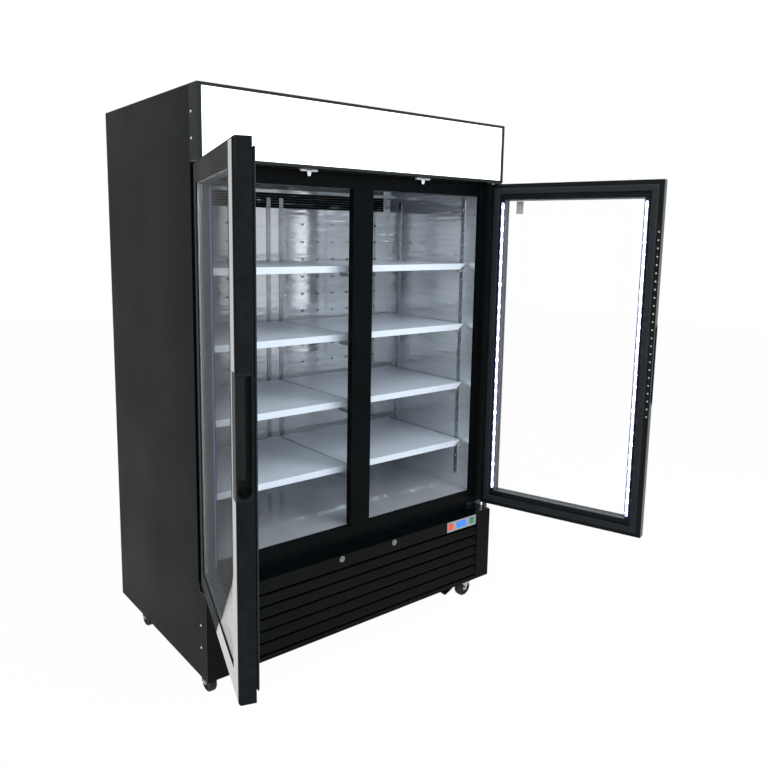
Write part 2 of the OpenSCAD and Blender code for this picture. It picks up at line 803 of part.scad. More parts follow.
module control_plate() color([0.55, 0.57, 0.58]) cab() difference() {
    union() {
        difference() {
            block([control_x - control_l / 2, -control_t, control_z - control_h / 2],
                [control_x + control_l / 2, 0, control_z + control_h / 2]);
            for (dx = [-rocker_dx, rocker_dx]) control_cut(control_x + dx, rocker_w + 1, rocker_h + 1);
            control_cut(control_x, display_l - 4, display_h - 4);
        }
        for (dx = [-rocker_dx, rocker_dx])
            control_housing(control_x + dx, rocker_w + 2 * rocker_clear, rocker_h + 2 * rocker_clear);
    }
    for (dx = [-rocker_dx, rocker_dx])
        rod_x([control_x + dx - rocker_w / 2 - 2, rocker_pin_y, control_z], rocker_pin_r + pin_clear,
            rocker_w + 4);
}

// A rocker with a shallow V on its face and a pivot across it
module rocker(dx) cab() translate([control_x + dx, 0, 0]) {
    h = rocker_h / 2 - 1;
    along_x(-rocker_w / 2, rocker_w) translate([0, control_z])
        polygon([[-control_t - 3.5, h], [-control_t - 1, 0], [-control_t - 3.5, -h], [7, -h + 3],
            [7, h - 3]]);
    rod_x([-rocker_w / 2 - 1.5, rocker_pin_y, control_z], rocker_pin_r, rocker_w + 3);
}

module power_rocker() color([0.85, 0.20, 0.08]) rocker(-rocker_dx);
module lamp_rocker() color([0.15, 0.50, 0.40]) rocker(rocker_dx);

// A domed window on the plate, with its body behind the panel
module temperature_display() color([0.15, 0.40, 0.80]) cab() {
    x = display_l / 2 - 4;
    z = display_h / 2 - 4;
    translate([control_x, 0, control_z]) {
        block([-display_l / 2, -control_t - 1.5, -display_h / 2],
            [display_l / 2, -control_t, display_h / 2]);
        block([-x + 3, -control_t - 3, -z + 3], [x - 3, -control_t - 1.5 + tiny, z - 3]);
        block([-x + 0.5, -control_t - tiny, -z + 0.5], [x - 0.5, housing_d, z - 0.5]);
    }
}

// Locks on the lower panel

module lock_barrels() color(STEEL) cab() both_sides() translate([lock_x, 0, lock_z]) difference() {
    union() {
        rod_y([0, -3, 0], lock_flange_r, 3);
        rod_y([0, -tiny, 0], lock_r, panel_t + lock_l + tiny);
    }
    rod_y([0, -4, 0], plug_r + pin_clear, panel_t + lock_l + 5);
}

// The plug with its key slot, and the cam on its end, pointing away from the centre
module lock_cam(side) color(STEEL) cab() translate([side * lock_x, 0, lock_z]) difference() {
    union() {
        rod_y([0, -4, 0], plug_r, cam_y + 4 + tiny);
        rod_y([0, cam_y, 0], cam_w / 2, cam_t);
        scale_side(side) block([0, cam_y, -cam_w / 2], [cam_l, cam_y + cam_t, cam_w / 2]);
    }
    block([-1, -5, -4.5], [1, 4, 4.5]);
}

// Machine bay

module compressor() color(BLACK) cab() translate([comp_x, comp_y, base_z + pan_t]) {
    rotate_extrude() polygon([[0, 8], [comp_r * 0.6, 8], [comp_r, 30], [comp_r, comp_h - 50],
        [comp_r * 0.8, comp_h - 16], [comp_r * 0.4, comp_h], [0, comp_h]]);
    block([-comp_r - 20, -comp_r * 0.6, 4], [comp_r + 20, comp_r * 0.6, 9]);
    for (x = [-comp_r - 8, comp_r + 8], y = [-comp_r * 0.45, comp_r * 0.45])
        translate([x, y, 0]) cylinder(r = 9, h = 5);
    block([-30, -comp_r - 22, 70], [30, -comp_r * 0.8, 130]);
}

module condenser_coil() color(BLACK) cab() translate([cond_x, cond_y, cond_z]) {
    coil(cond_l, cond_d, cond_h, 30);
    for (x = [0, cond_l - 30]) block([x, 0, base_z + pan_t - cond_z], [x + 30, cond_d, 1]);
}

module condenser_fan() color(BLACK) cab() translate([cond_fan_x, cond_fan_y - fan_hub_h / 2, cond_fan_z])
    rotate([-90, 0, 0]) fan(cond_fan_r - 6);

// A plate with a round mouth, and the motor on its arms
module fan_shroud() color(STEEL) cab() {
    y = shroud_y;
    difference() {
        block([cond_x, y, base_z + pan_t], [cond_x + cond_l, y + 2, cond_z + cond_h]);
        rod_y([cond_fan_x, y - 1, cond_fan_z], cond_fan_r, 4);
    }
    block([cond_x, cond_y + cond_d, cond_z], [cond_x + 2, y + tiny, cond_z + cond_h]);
    block([cond_x + cond_l - 2, cond_y + cond_d, cond_z], [cond_x + cond_l, y + tiny, cond_z + cond_h]);
    rod_y([cond_fan_x, motor_y, cond_fan_z], motor_r, motor_l);
    rod_y([cond_fan_x, cond_fan_y - 8, cond_fan_z], shaft_r, motor_y - cond_fan_y + 10);
    for (s = [-1, 1]) {
        x = cond_fan_x + s * (cond_fan_r + 14);
        xi = cond_fan_x + s * (motor_r - 6);
        y1 = motor_y + motor_l / 2;
        block([x - 6, y, cond_fan_z - 8], [x + 6, y1, cond_fan_z + 8]);
        block([min(x, xi), y1 - 6, cond_fan_z - 8], [max(x, xi), y1, cond_fan_z + 8]);
    }
}

module drain_pan() color(STEEL) cab() translate([cond_x, comp_y - pan_d / 2 + 60, base_z + pan_t])
    difference() {
        cube([pan_l, pan_d, pan_h]);
        translate([2, 2, 2]) cube([pan_l - 4, pan_d - 4, pan_h]);
    }

module rear_grille() color(BLACK) cab() difference() {
    block([-half_w + sheet, cab_d - 2, base_z], [half_w - sheet, cab_d, foam_low - seam]);
    for (i = [0 : 8], x = [-560 : 170 : 290])
        block([x, cab_d - 3, base_z + 50 + i * 26], [x + 140, cab_d + 1, base_z + 60 + i * 26]);
    block([inlet_x - 14, cab_d - 3, inlet_z - 10], [inlet_x + 14, cab_d + 1, inlet_z + 10]);
}

// A shrouded three-blade socket that clips into the rear grille
module power_inlet() color(BLACK) cab() translate([inlet_x, cab_d - 2, inlet_z]) {
    difference() {
        block([-13.7, -22, -9.7], [13.7, 1.6, 9.7]);
        block([-11.5, -16, -7.5], [11.5, 2, 7.5]);
    }
    for (x = [-7, 0, 7]) block([x - 1, -18, -3], [x + 1, -3, 3]);
}

// Hinges

module hinge_brackets() color(STEEL) cab() both_sides() {
    x1 = half_w - 1;
    x0 = x1 - bracket_l;
    block([x0, 4, base_top], [x1, recess_d, base_top + bracket_t]);
    block([x0, recess_d - bracket_t, base_top + tiny], [x1, recess_d, base_top + bracket_t + bracket_h]);
    rod_z([hinge_x, hinge_y, base_top + tiny], pin_r, door_low_gap + pin_in - tiny);
    rod_z([hinge_x, hinge_y, base_top + tiny], closer_r, door_low_gap - closer_gap - tiny);
    block([x0, 4, header_z - bracket_t], [x1, recess_d, header_z]);
    rod_z([hinge_x, hinge_y, door_z1 - pin_in], pin_r, pin_in + door_top_gap - tiny);
}

// Doors, drawn closed as the right-hand one

// A rectangle whose two corners at y = 0 are rounded
module soft_front(w, d, r) {
    translate([0, r]) square([w, d - r]);
    translate([r, 0]) square([w - 2 * r, d]);
    for (x = [r, w - r]) translate([x, r]) circle(r);
}

// The door's full block with all four edges of its outer face rounded
module door_block() intersection() {
    translate([door_x0, 0, door_z0]) linear_extrude(door_h) soft_front(door_w, door_t, door_edge_r);
    along_x(door_x0 - 1, door_w + 2) translate([0, door_z0]) mirror([1, -1])
        soft_front(door_h, door_t, door_edge_r);
}

module door_frame(side) color(GLOSS_BLACK) door_place(side) difference() {
    door_block();
    block([win_x0, -1, win_z0], [win_x1, door_t + 1, win_z1]);
    block([win_x0 - glass_lap, glass_y - glass_clear, win_z0 - glass_lap],
        [win_x1 + glass_lap, glass_y + glass_t + glass_clear, win_z1 + glass_lap]);
    for (x = [win_x0, win_x1 - seam], z = [door_z0 - 1, win_z1 - tiny])
        block([x, -1, z], [x + seam, door_t + 1, z + rail_w + 1 + tiny]);
    rod_z([hinge_x, hinge_y, door_z0 - 1], pin_r + pin_clear, pin_in + 2);
    rod_z([hinge_x, hinge_y, door_z1 - pin_in - 1], pin_r + pin_clear, pin_in + 2);
    block([door_x0 - 1, -1, grip_z - grip_end], [door_x0 + grip_in, lip_t + groove, grip_z1 + grip_end]);
    block([lock_x - cam_w / 2 - cam_clear, cam_y - cam_clear, door_z0 - 1],
        [lock_x + cam_l - 12, cam_y + cam_t + cam_clear, lock_z + cam_l + cam_clear]);
}

// Two panes and the spacer between them
module door_glass(side) color(GLASS) door_place(side) {
    lap = glass_lap - glass_clear;
    x0 = win_x0 - lap;
    x1 = win_x1 + lap;
    z0 = win_z0 - lap;
    z1 = win_z1 + lap;
    block([x0, glass_y, z0], [x1, glass_y + pane_t, z1]);
    block([x0, glass_y + glass_t - pane_t, z0], [x1, glass_y + glass_t, z1]);
    difference() {
        block([x0, glass_y + pane_t, z0], [x1, glass_y + pane_t + pane_gap, z1]);
        block([x0 + lap, glass_y, z0 + lap], [x1 - lap, glass_y + glass_t, z1 - lap]);
    }
}

// A frame-shaped strip between two insets from the door's edge
module door_ring(a, b, y0, y1) difference() {
    block([door_x0 + a, y0, door_z0 + a], [door_x1 - a, y1, door_z1 - a]);
    block([door_x0 + b, y0 - 1, door_z0 + b], [door_x1 - b, y1 + 1, door_z1 - b]);
}

module door_gasket(side) color(RUBBER) door_place(side) {
    a = gasket_inset;
    door_ring(a, a + gasket_w, door_t, door_t + gasket_t * 0.4);
    door_ring(a + 4, a + gasket_w - 4, door_t + gasket_t * 0.4 - tiny, door_t + gasket_t);
}

module door_lights(side) color(WHITE) door_place(side) {
    z0 = win_z0 + strip_end;
    z1 = win_z1 - strip_end;
    for (x = [win_x0 - strip_inset - strip_w, win_x1 + strip_inset])
        block([x, door_t, z0], [x + strip_w, door_t + strip_t, z1]);
}

// A moulded pull: a skin and a back wall, a lip to hook the fingers behind, a round-bottomed scoop
// below the lip and a plug at the top
module door_handle(side) color(BLACK) door_place(side) {
    c = 0.2;
    x0 = door_x0;
    x1 = door_x0 + grip_in - c;
    y1 = lip_t + groove - c;
    low = grip_z - grip_end + c;
    high = grip_z1 + grip_end - c;
    r = (y1 - grip_wall) / 2;
    block([x0, 0, low], [x1, grip_wall, high]);
    block([x1 - grip_wall, 0, low], [x1, y1, high]);
    block([x0, 0, grip_z1], [x1, y1, high]);
    difference() {
        block([x0, 0, low], [x1, y1, grip_z + r]);
        rod_x([x0 - 1, grip_wall + r, grip_z + r], r, grip_in + 1);
    }
    translate([0, 0, grip_z + grip_scoop]) linear_extrude(grip_l - grip_scoop + 1) {
        lip_x = x0 + lip_back;
        translate([lip_x + lip_r, 0]) square([x1 - lip_x - lip_r, lip_t]);
        translate([lip_x, 1]) square([lip_r + 1, lip_t - lip_r - 1]);
        translate([lip_x + lip_r, lip_t - lip_r]) circle(lip_r);
    }
}

// Casters

module caster_plates() color(STEEL) cab() for (p = caster_names)
    translate([p[0] * caster_x, caster_place_y(p[1]), 0]) {
        difference() {
            block([-46, -36, base_z - 3], [46, 36, base_z]);
            for (x = [-32, 32], y = [-22, 22]) translate([x, y, base_z - 4]) cylinder(r = 4.2, h = 5);
        }
        rod_z([0, 0, crown_z + crown_t + wheel_lift], 20,
            base_z - 3 - crown_z - crown_t - wheel_lift + tiny);
        rod_z([0, 0, crown_z - rivet_h], swivel_r, base_z - crown_z + rivet_h - 3);
        rod_z([0, 0, crown_z - rivet_h], swivel_r + 3, rivet_h - wheel_lift);
    }

// Places a caster drawn with its pivot at the origin and its wheel towards +X
module caster_place(i) cab() translate([caster_names[i][0] * caster_x,
    caster_place_y(caster_names[i][1]), 0]) rotate([0, 0, caster_turn[i]]) children();

module fork_cheek(y) along_y(y, fork_t) difference() {
    union() {
        polygon([[-18, crown_z + 1], [24, crown_z + 1], [trail + 11, wheel_r], [trail - 11, wheel_r]]);
        translate([trail, wheel_r]) circle(11);
        polygon([[10, crown_z + 1], [pedal_x - 2, crown_z + 1], [pedal_x + 5, pedal_z - 4],
            [pedal_x - 4, pedal_z - 6], [trail, wheel_r + 11]]);
    }
    translate([trail, wheel_r]) circle(axle_r + pin_clear);
    translate([pedal_x, pedal_z]) circle(pedal_pin_r + pin_clear);
}

// A fork with two cheeks and a crown, and the axle as a solid of its own
module caster_fork(i) color(STEEL) caster_place(i) {
    y = wheel_w / 2 + wheel_gap;
    difference() {
        union() {
            block([-18, -y - fork_t, crown_z], [24, y + fork_t, crown_z + 3]);
            rod_z([0, 0, crown_z], 22, crown_t);
        }
        rod_z([0, 0, crown_z - 1], swivel_r + pin_clear, crown_t + 2);
    }
    fork_cheek(y);
    fork_cheek(-y - fork_t);
    rod_y([trail, -axle_half, wheel_r], axle_r, 2 * axle_half);
    for (s = [-1, 1]) rod_y([trail, s > 0 ? axle_half - 2 + tiny : -axle_half - 3, wheel_r], 7, 5 - tiny);
}

module caster_wheel(i) color(RUBBER) caster_place(i) translate([trail, 0, wheel_r])
    rotate([-90, 0, 0]) difference() {
        rotate_extrude() polygon([[0, -wheel_w / 2 - 1], [10, -wheel_w / 2 - 1], [10, -wheel_w / 2 + 4],
            [wheel_r - 9, -wheel_w / 2 + 4], [wheel_r - 9, -wheel_w / 2], [wheel_r - 3, -wheel_w / 2],
            [wheel_r, -wheel_w / 2 + 4], [wheel_r, wheel_w / 2 - 4], [wheel_r - 3, wheel_w / 2],
            [wheel_r - 9, wheel_w / 2], [wheel_r - 9, wheel_w / 2 - 4], [10, wheel_w / 2 - 4],
            [10, wheel_w / 2 + 1], [0, wheel_w / 2 + 1]]);
        translate([0, 0, -wheel_w]) cylinder(r = axle_r + pin_clear, h = 2 * wheel_w);
    }

// A foot pedal on a pin across the fork's ears
module brake_pedal(i) color(STEEL) caster_place(i) {
    w = wheel_w / 2 + wheel_gap - 0.4;
    rod_y([pedal_x, -w - fork_t, pedal_z], pedal_pin_r, 2 * (w + fork_t));
    bend = pedal_x + pedal_l * 0.66;
    drop = pedal_drop * 0.7;
    along_y(-w, 2 * w) polygon([[pedal_x - 3, pedal_z + 2], [pedal_x + 3, pedal_z - 3],
        [pedal_x + 14, pedal_z - 2], [bend, pedal_z - drop], [pedal_x + pedal_l, pedal_z - pedal_drop],
        [pedal_x + pedal_l, pedal_z - pedal_drop + 4], [bend + 1, pedal_z - drop + 5],
        [pedal_x + 14, pedal_z + 3]]);
}

side_panels();
back_and_top_panels();
insulation();
liner();
front_frame();
shelf_posts();
shelf_clips();
shelves();
air_duct_panels();
air_grille();
evaporator_coil();
evaporator_fan();
evaporator_motor();
header_shell();
sign_panel();
sign_lamps();
side_screws();
switch_housings();
switch_lever(LEFT);  // left_switch_lever
switch_lever(RIGHT);  // right_switch_lever
base_pan();
base_front();
lower_panel();
control_plate();
power_rocker();
lamp_rocker();
temperature_display();
lock_barrels();
lock_cam(LEFT);  // left_lock_cam
lock_cam(RIGHT);  // right_lock_cam
compressor();
condenser_coil();
condenser_fan();
fan_shroud();
drain_pan();
rear_grille();
power_inlet();
hinge_brackets();
door_frame(LEFT);  // left_door_frame
door_glass(LEFT);  // left_door_glass
door_gasket(LEFT);  // left_door_gasket
door_lights(LEFT);  // left_door_lights
door_handle(LEFT);  // left_door_handle
door_frame(RIGHT);  // right_door_frame
door_glass(RIGHT);  // right_door_glass
door_gasket(RIGHT);  // right_door_gasket
door_lights(RIGHT);  // right_door_lights
door_handle(RIGHT);  // right_door_handle
caster_plates();
caster_fork(0);  // front_left_fork
caster_fork(1);  // front_right_fork
caster_fork(2);  // rear_left_fork
caster_fork(3);  // rear_right_fork
caster_wheel(0);  // front_left_wheel
caster_wheel(1);  // front_right_wheel
caster_wheel(2);  // rear_left_wheel
caster_wheel(3);  // rear_right_wheel
brake_pedal(0);  // front_left_pedal
brake_pedal(1);  // front_right_pedal
brake_pedal(2);  // rear_left_pedal
brake_pedal(3);  // rear_right_pedal
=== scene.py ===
"""Dresses a two-door glass merchandiser refrigerator, with both doors standing open.

Every length is in metres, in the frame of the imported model: X to the right, Y to the back, Z up.
"""

import json
import logging
import math
from dataclasses import dataclass, field
from enum import Enum
from typing import Any, Sequence

import bmesh
import bpy
from mathutils import Matrix, Vector

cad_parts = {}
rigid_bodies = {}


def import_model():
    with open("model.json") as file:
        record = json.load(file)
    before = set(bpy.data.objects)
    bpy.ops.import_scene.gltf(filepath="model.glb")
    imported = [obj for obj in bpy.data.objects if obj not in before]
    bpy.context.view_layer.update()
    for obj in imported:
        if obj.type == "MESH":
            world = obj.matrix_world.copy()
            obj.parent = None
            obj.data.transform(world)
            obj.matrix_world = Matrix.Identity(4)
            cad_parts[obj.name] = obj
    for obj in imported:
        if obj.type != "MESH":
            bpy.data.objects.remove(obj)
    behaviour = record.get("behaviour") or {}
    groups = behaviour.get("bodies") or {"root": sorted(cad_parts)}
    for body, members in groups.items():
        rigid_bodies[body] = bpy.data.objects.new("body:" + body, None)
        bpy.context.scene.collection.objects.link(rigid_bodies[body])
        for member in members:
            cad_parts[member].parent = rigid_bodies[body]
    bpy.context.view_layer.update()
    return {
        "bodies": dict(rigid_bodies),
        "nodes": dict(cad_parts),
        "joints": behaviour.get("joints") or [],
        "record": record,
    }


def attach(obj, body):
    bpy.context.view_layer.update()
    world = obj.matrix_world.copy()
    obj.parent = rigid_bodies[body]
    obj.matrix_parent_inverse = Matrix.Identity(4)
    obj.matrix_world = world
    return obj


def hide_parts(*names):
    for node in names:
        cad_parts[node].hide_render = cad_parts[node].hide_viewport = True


log = logging.getLogger("merchandiser")

Point = tuple[float, float, float]
Pair = tuple[float, float]
MM = 0.001
ACROSS, BACK, UP = Vector((1, 0, 0)), Vector((0, 1, 0)), Vector((0, 0, 1))


# ---------------------------------------------------------------- sizes


@dataclass(frozen=True)
class Plan:
    """The cabinet's main sizes, repeated from the part's source."""

    half_w: float = 0.691
    cab_d: float = 0.800
    cab_h: float = 2.062
    base_z: float = 0.098
    base_top: float = 0.406
    hinge_dx: float = 0.014
    hinge_y: float = 0.020
    door_open: float = 108.0
    door_x0: float = 0.0025
    door_x1: float = 0.689
    door_z0: float = 0.442
    door_z1: float = 1.825
    door_t: float = 0.046
    rail: float = 0.065
    shelf_z: float = 0.703
    shelf_pitch: float = 0.263

    @property
    def shift(self) -> float:
        """How far the header's face lies from y = 0."""
        arc = math.radians(self.door_open)
        span = self.half_w - self.hinge_dx - self.door_x0
        reach = span * math.sin(arc) - (self.door_t - self.hinge_y) * math.cos(arc) - self.hinge_y
        return (reach - self.cab_d) / 2

    def door_matrix(self, side: int) -> Matrix:
        """The move from a closed right-hand door to its open place.

        Args:
            side: 1 for the right door, -1 for the left one, which is mirrored.

        Returns:
            The matrix that a door's mesh is multiplied by.
        """
        axle = Vector((side * (self.half_w - self.hinge_dx), self.hinge_y + self.shift, 0))
        turn = Matrix.Rotation(side * math.radians(self.door_open), 4, "Z")
        mirror = Matrix.Diagonal((side, 1, 1, 1))
        lift = Matrix.Translation((0, self.shift, 0))
        return Matrix.Translation(axle) @ turn @ Matrix.Translation(-axle) @ lift @ mirror


PLAN = Plan()


# ---------------------------------------------------------------- nodes and colours


def linear(code: str) -> tuple[float, float, float, float]:
    """Turn an sRGB hex colour into the linear one that Blender works in.

    Args:
        code: Six hex digits after a hash.

    Returns:
        Red, green, blue and an alpha of 1.
    """
    parts = [int(code[i : i + 2], 16) / 255 for i in (1, 3, 5)]
    red, green, blue = (c / 12.92 if c <= 0.04045 else ((c + 0.055) / 1.055) ** 2.4 for c in parts)
    return (red, green, blue, 1.0)


def add_node(
    tree: bpy.types.NodeTree, kind: str, inputs: dict[Any, Any] | None = None, **settings: Any
) -> Any:
    """Add one node with its settings and links.

    Args:
        tree: The tree that takes the node.
        kind: The node's type name.
        inputs: A value or an output socket for each input, by name or index.
        **settings: The node's own properties.

    Returns:
        The new node.
    """
    made = tree.nodes.new(kind)
    for key, value in settings.items():
        setattr(made, key, value)
    for key, value in (inputs or {}).items():
        if isinstance(value, bpy.types.NodeSocket):
            tree.links.new(value, made.inputs[key])
        else:
            made.inputs[key].default_value = value
    return made


def spread_range(
    tree: bpy.types.NodeTree, value: bpy.types.NodeSocket, source: Pair, target: Pair
) -> bpy.types.NodeSocket:
    """Stretch a value from one range to another and clamp it there.

    Args:
        tree: The tree that takes the node.
        value: The value.
        source: The range that the value is read from.
        target: The range that it is turned into.

    Returns:
        The new value.
    """
    ends = {"From Min": source[0], "From Max": source[1], "To Min": target[0], "To Max": target[1]}
    return add_node(tree, "ShaderNodeMapRange", {"Value": value, **ends}).outputs[0]


def clear_tree(owner: bpy.types.Material | bpy.types.World) -> bpy.types.NodeTree:
    """Give a material or a world an empty node tree.

    Args:
        owner: The material or the world.

    Returns:
        Its tree.
    """
    owner.use_nodes = True
    owner.node_tree.nodes.clear()
    return owner.node_tree


def seen_straight(tree: bpy.types.NodeTree) -> bpy.types.NodeSocket:
    """Tell the rays that show a background: from the camera, mirrored or through glass.

    Args:
        tree: The tree that takes the nodes.

    Returns:
        1 for such a ray and 0 for the others.
    """
    path = add_node(tree, "ShaderNodeLightPath").outputs
    seen = path["Is Camera Ray"]
    for kind in ("Is Glossy Ray", "Is Transmission Ray"):
        either = {0: seen, 1: path[kind]}
        seen = add_node(tree, "ShaderNodeMath", either, operation="MAXIMUM").outputs[0]
    return seen


def add_object(name: str, data: bpy.types.ID) -> bpy.types.Object:
    """Put a mesh, a lamp or a camera into the scene.

    Args:
        name: The object's name.
        data: What it holds.

    Returns:
        The new object, at the origin.
    """
    made = bpy.data.objects.new(name, data)
    bpy.context.scene.collection.objects.link(made)
    return made


def mesh_object(name: str, shape: bmesh.types.BMesh) -> bpy.types.Object:
    """Make an object from a bmesh and free the bmesh.

    Args:
        name: The piece's name.
        shape: Its mesh.

    Returns:
        The new object, at the origin.
    """
    mesh = bpy.data.meshes.new(name)
    shape.to_mesh(mesh)
    shape.free()
    return add_object(name, mesh)


class Grain(Enum):
    """What the surface's fine relief looks like."""

    PEEL = "powder coat"
    MOULD = "moulded plastic"
    BRUSH = "brushed metal"
    WAVE = "polished sheet that isn't quite flat"
    SPANGLE = "galvanised zinc"
    CELL = "foam"
    SOFT = "rubber"


@dataclass(frozen=True)
class Finish:
    """One real finish and how its surface was made.

    The two colours are mixed by the grain, and worn is the rarer one.
    """

    name: str
    colour: str
    worn: str
    roughness: float
    grain: Grain
    size_mm: float
    relief_mm: float
    metallic: float = 0.0
    coat: float = 0.0
    coat_roughness: float = 0.02
    coat_ior: float = 1.6
    specular: float = 0.5
    glow: float = 0.0
    glow_colour: str = "#ffffff"
    spread: float = 0.06
    stretch: Point = (1.0, 1.0, 1.0)

    def build(self) -> bpy.types.Material:
        """Make the material, or return it if it is there already."""
        made = bpy.data.materials.get(self.name)
        if made is not None:
            return made
        made = bpy.data.materials.new(self.name)
        tree = clear_tree(made)
        place = add_node(tree, "ShaderNodeTexCoord").outputs["Object"]
        per_metre = 1000 / self.size_mm
        scale = tuple(per_metre / s for s in self.stretch)
        flow = add_node(tree, "ShaderNodeMapping", {"Vector": place, "Scale": scale}).outputs[0]
        if self.grain in (Grain.SPANGLE, Grain.CELL):
            cells = add_node(tree, "ShaderNodeTexVoronoi", {"Vector": flow, "Scale": 1.0})
            relief, tone = cells.outputs["Distance"], cells.outputs["Color"]
        else:
            detail = 5.0 if self.grain is Grain.BRUSH else 2.0
            settings = {"Vector": flow, "Scale": 1.0, "Detail": detail, "Roughness": 0.5}
            relief = tone = add_node(tree, "ShaderNodeTexNoise", settings).outputs["Fac"]
        broad = add_node(
            tree, "ShaderNodeTexNoise", {"Vector": place, "Scale": 2.7, "Detail": 3.0}
        ).outputs["Fac"]
        share = spread_range(tree, tone, (0.35, 0.75), (0.0, 0.7))
        wide = spread_range(tree, broad, (0.4, 0.7), (0.0, 0.3))
        both = add_node(
            tree, "ShaderNodeMath", {0: share, 1: wide}, operation="ADD", use_clamp=True
        )
        colours = {"Factor": both.outputs[0], 6: linear(self.colour), 7: linear(self.worn)}
        mix = add_node(tree, "ShaderNodeMix", colours, data_type="RGBA")
        least = max(0.02, self.roughness - self.spread)
        rough = spread_range(tree, broad, (0.3, 0.7), (least, self.roughness + self.spread))
        height = {"Height": relief, "Strength": 1.0, "Distance": self.relief_mm * MM}
        inputs = {
            "Base Color": mix.outputs[2],
            "Roughness": rough,
            "Normal": add_node(tree, "ShaderNodeBump", height).outputs[0],
            "Metallic": self.metallic,
            "Coat Weight": self.coat,
            "Specular IOR Level": self.specular,
        }
        if self.coat:
            inputs |= {"Coat Roughness": self.coat_roughness, "Coat IOR": self.coat_ior}
        if self.glow:
            inputs |= {"Emission Color": linear(self.glow_colour), "Emission Strength": self.glow}
        shader = add_node(tree, "ShaderNodeBsdfPrincipled", inputs)
        add_node(tree, "ShaderNodeOutputMaterial", {"Surface": shader.outputs[0]})
        return made


@dataclass(frozen=True)
class ClearGlass:
    """Float glass with a coat against reflections. Lamps shine through it."""

    name: str = "float_glass"
    tint: str = "#ffffff"
    shade: str = "#f8fdfc"
    ior: float = 1.1

    def build(self) -> bpy.types.Material:
        """Make the material, or return it if it is there already."""
        made = bpy.data.materials.get(self.name)
        if made is not None:
            return made
        made = bpy.data.materials.new(self.name)
        tree = clear_tree(made)
        inputs = {"Base Color": linear(self.tint), "Roughness": 0.0, "IOR": self.ior}
        inputs["Transmission Weight"] = 1.0
        glass = add_node(tree, "ShaderNodeBsdfPrincipled", inputs)
        open_way = add_node(tree, "ShaderNodeBsdfTransparent", {"Color": linear(self.shade)})
        shadow = add_node(tree, "ShaderNodeLightPath").outputs["Is Shadow Ray"]
        ways = {0: shadow, 1: glass.outputs[0], 2: open_way.outputs[0]}
        either = add_node(tree, "ShaderNodeMixShader", ways)
        add_node(tree, "ShaderNodeOutputMaterial", {"Surface": either.outputs[0]})
        return made


# Powder-coated steel: a satin black skin with a fine orange peel, drawn 3 mm coarse to show
BLACK_SHEET = Finish(
    "black_powder_coat", "#090c0e", "#12171a", 0.42, Grain.PEEL, 3.0, 0.04, specular=0.04
)
# The same coat on the header, painted lighter: its greyer colour paints the brighter light that
# falls on the header
LIT_HEADER_SHEET = Finish(
    "header_powder_coat_painted_light", "#15191b", "#202628", 0.42, Grain.PEEL, 3.0, 0.04, specular=0.09
)
# The same coat, matt, on the base
BASE_SHEET = Finish(
    "matt_powder_coat", "#0a0c0c", "#131514", 0.55, Grain.PEEL, 3.0, 0.04, specular=0.03
)
# Rigid PVC extrusion: smooth and black, with a soft sheen
BLACK_PVC = Finish(
    "black_pvc_extrusion", "#0a0e10", "#11171a", 0.26, Grain.MOULD, 30.0, 0.02, specular=0.08
)
# The same extrusion round the openings, painted near black: the darker colour paints the shade on
# the front faces
SHADED_FRAME_PVC = Finish(
    "frame_pvc_painted_shade", "#040607", "#080b0d", 0.3, Grain.MOULD, 30.0, 0.02, specular=0.03
)
# Glass printed black on its back: a clear mirror where the eye meets it at a shallow angle
PRINTED_GLASS = Finish(
    "black_printed_glass", "#04070a", "#07090c", 0.03, Grain.MOULD, 90.0, 0.01,
    coat=0.66, spread=0.01,
)
# Textured ABS: an even dull black
BLACK_ABS = Finish(
    "black_abs", "#0d1112", "#151a1b", 0.36, Grain.MOULD, 0.8, 0.04, specular=0.12
)
# Bright annealed stainless: it mirrors, and ripples in long level waves
MIRROR_STEEL = Finish(
    "bright_stainless", "#ccd2d7", "#bbc2c9", 0.08, Grain.WAVE, 30.0, 1.3,
    metallic=0.62, spread=0.03, stretch=(7.0, 7.0, 0.8),
)
# Brushed stainless: fine lines along X
BRUSHED_STEEL = Finish(
    "brushed_stainless", "#a9afb2", "#8c9296", 0.3, Grain.BRUSH, 1.2, 0.02,
    metallic=1.0, stretch=(40.0, 1.0, 1.0),
)
# Epoxy-coated steel: a smooth, cool white
WHITE_EPOXY = Finish("white_epoxy", "#b2bcc7", "#a8b2be", 0.34, Grain.PEEL, 4.0, 0.03)
# Hot-dip galvanised sheet: grey flakes about 12 mm across
GALVANISED = Finish(
    "galvanised_sheet", "#8d9498", "#a3aaad", 0.42, Grain.SPANGLE, 12.0, 0.02, metallic=0.9
)
# Zinc plating, passivated: a dull silver with cloudy patches
ZINC_PLATE = Finish(
    "zinc_plate", "#b4b8ba", "#9a9fa2", 0.3, Grain.BRUSH, 2.5, 0.02, metallic=1.0
)
# Plated metal of the hinge brackets, painted dark: the dark colour paints the shade they stand in,
# and only their edges catch the metal's highlights
SHADED_BRACKET_METAL = Finish(
    "bracket_plate_painted_shade", "#4a5054", "#3c4145", 0.28, Grain.BRUSH, 2.5, 0.02, metallic=1.0
)
# Chromed brass: a clear mirror with hardly any texture
CHROME = Finish(
    "chrome", "#c9cccf", "#bcc0c4", 0.1, Grain.BRUSH, 1.5, 0.005, metallic=1.0, spread=0.03
)
# Opal acrylic lit from behind: it clips to white
OPAL_ACRYLIC = Finish(
    "opal_acrylic", "#f4f6f7", "#eef1f3", 0.25, Grain.MOULD, 60.0, 0.01, glow=0.62
)
# Rigid polyurethane foam: pale yellow cells
PU_FOAM = Finish("pu_foam", "#d9cb93", "#c2b27a", 0.85, Grain.CELL, 3.0, 0.5)
# Plasticised PVC seal: a dull slate skin
SEAL_PVC = Finish("seal_pvc", "#15191c", "#1e2427", 0.46, Grain.SOFT, 1.5, 0.03, specular=0.12)
# Tyre rubber: dull black with scuffs
TYRE = Finish("tyre_rubber", "#101112", "#26282a", 0.62, Grain.SOFT, 2.0, 0.08, specular=0.2)
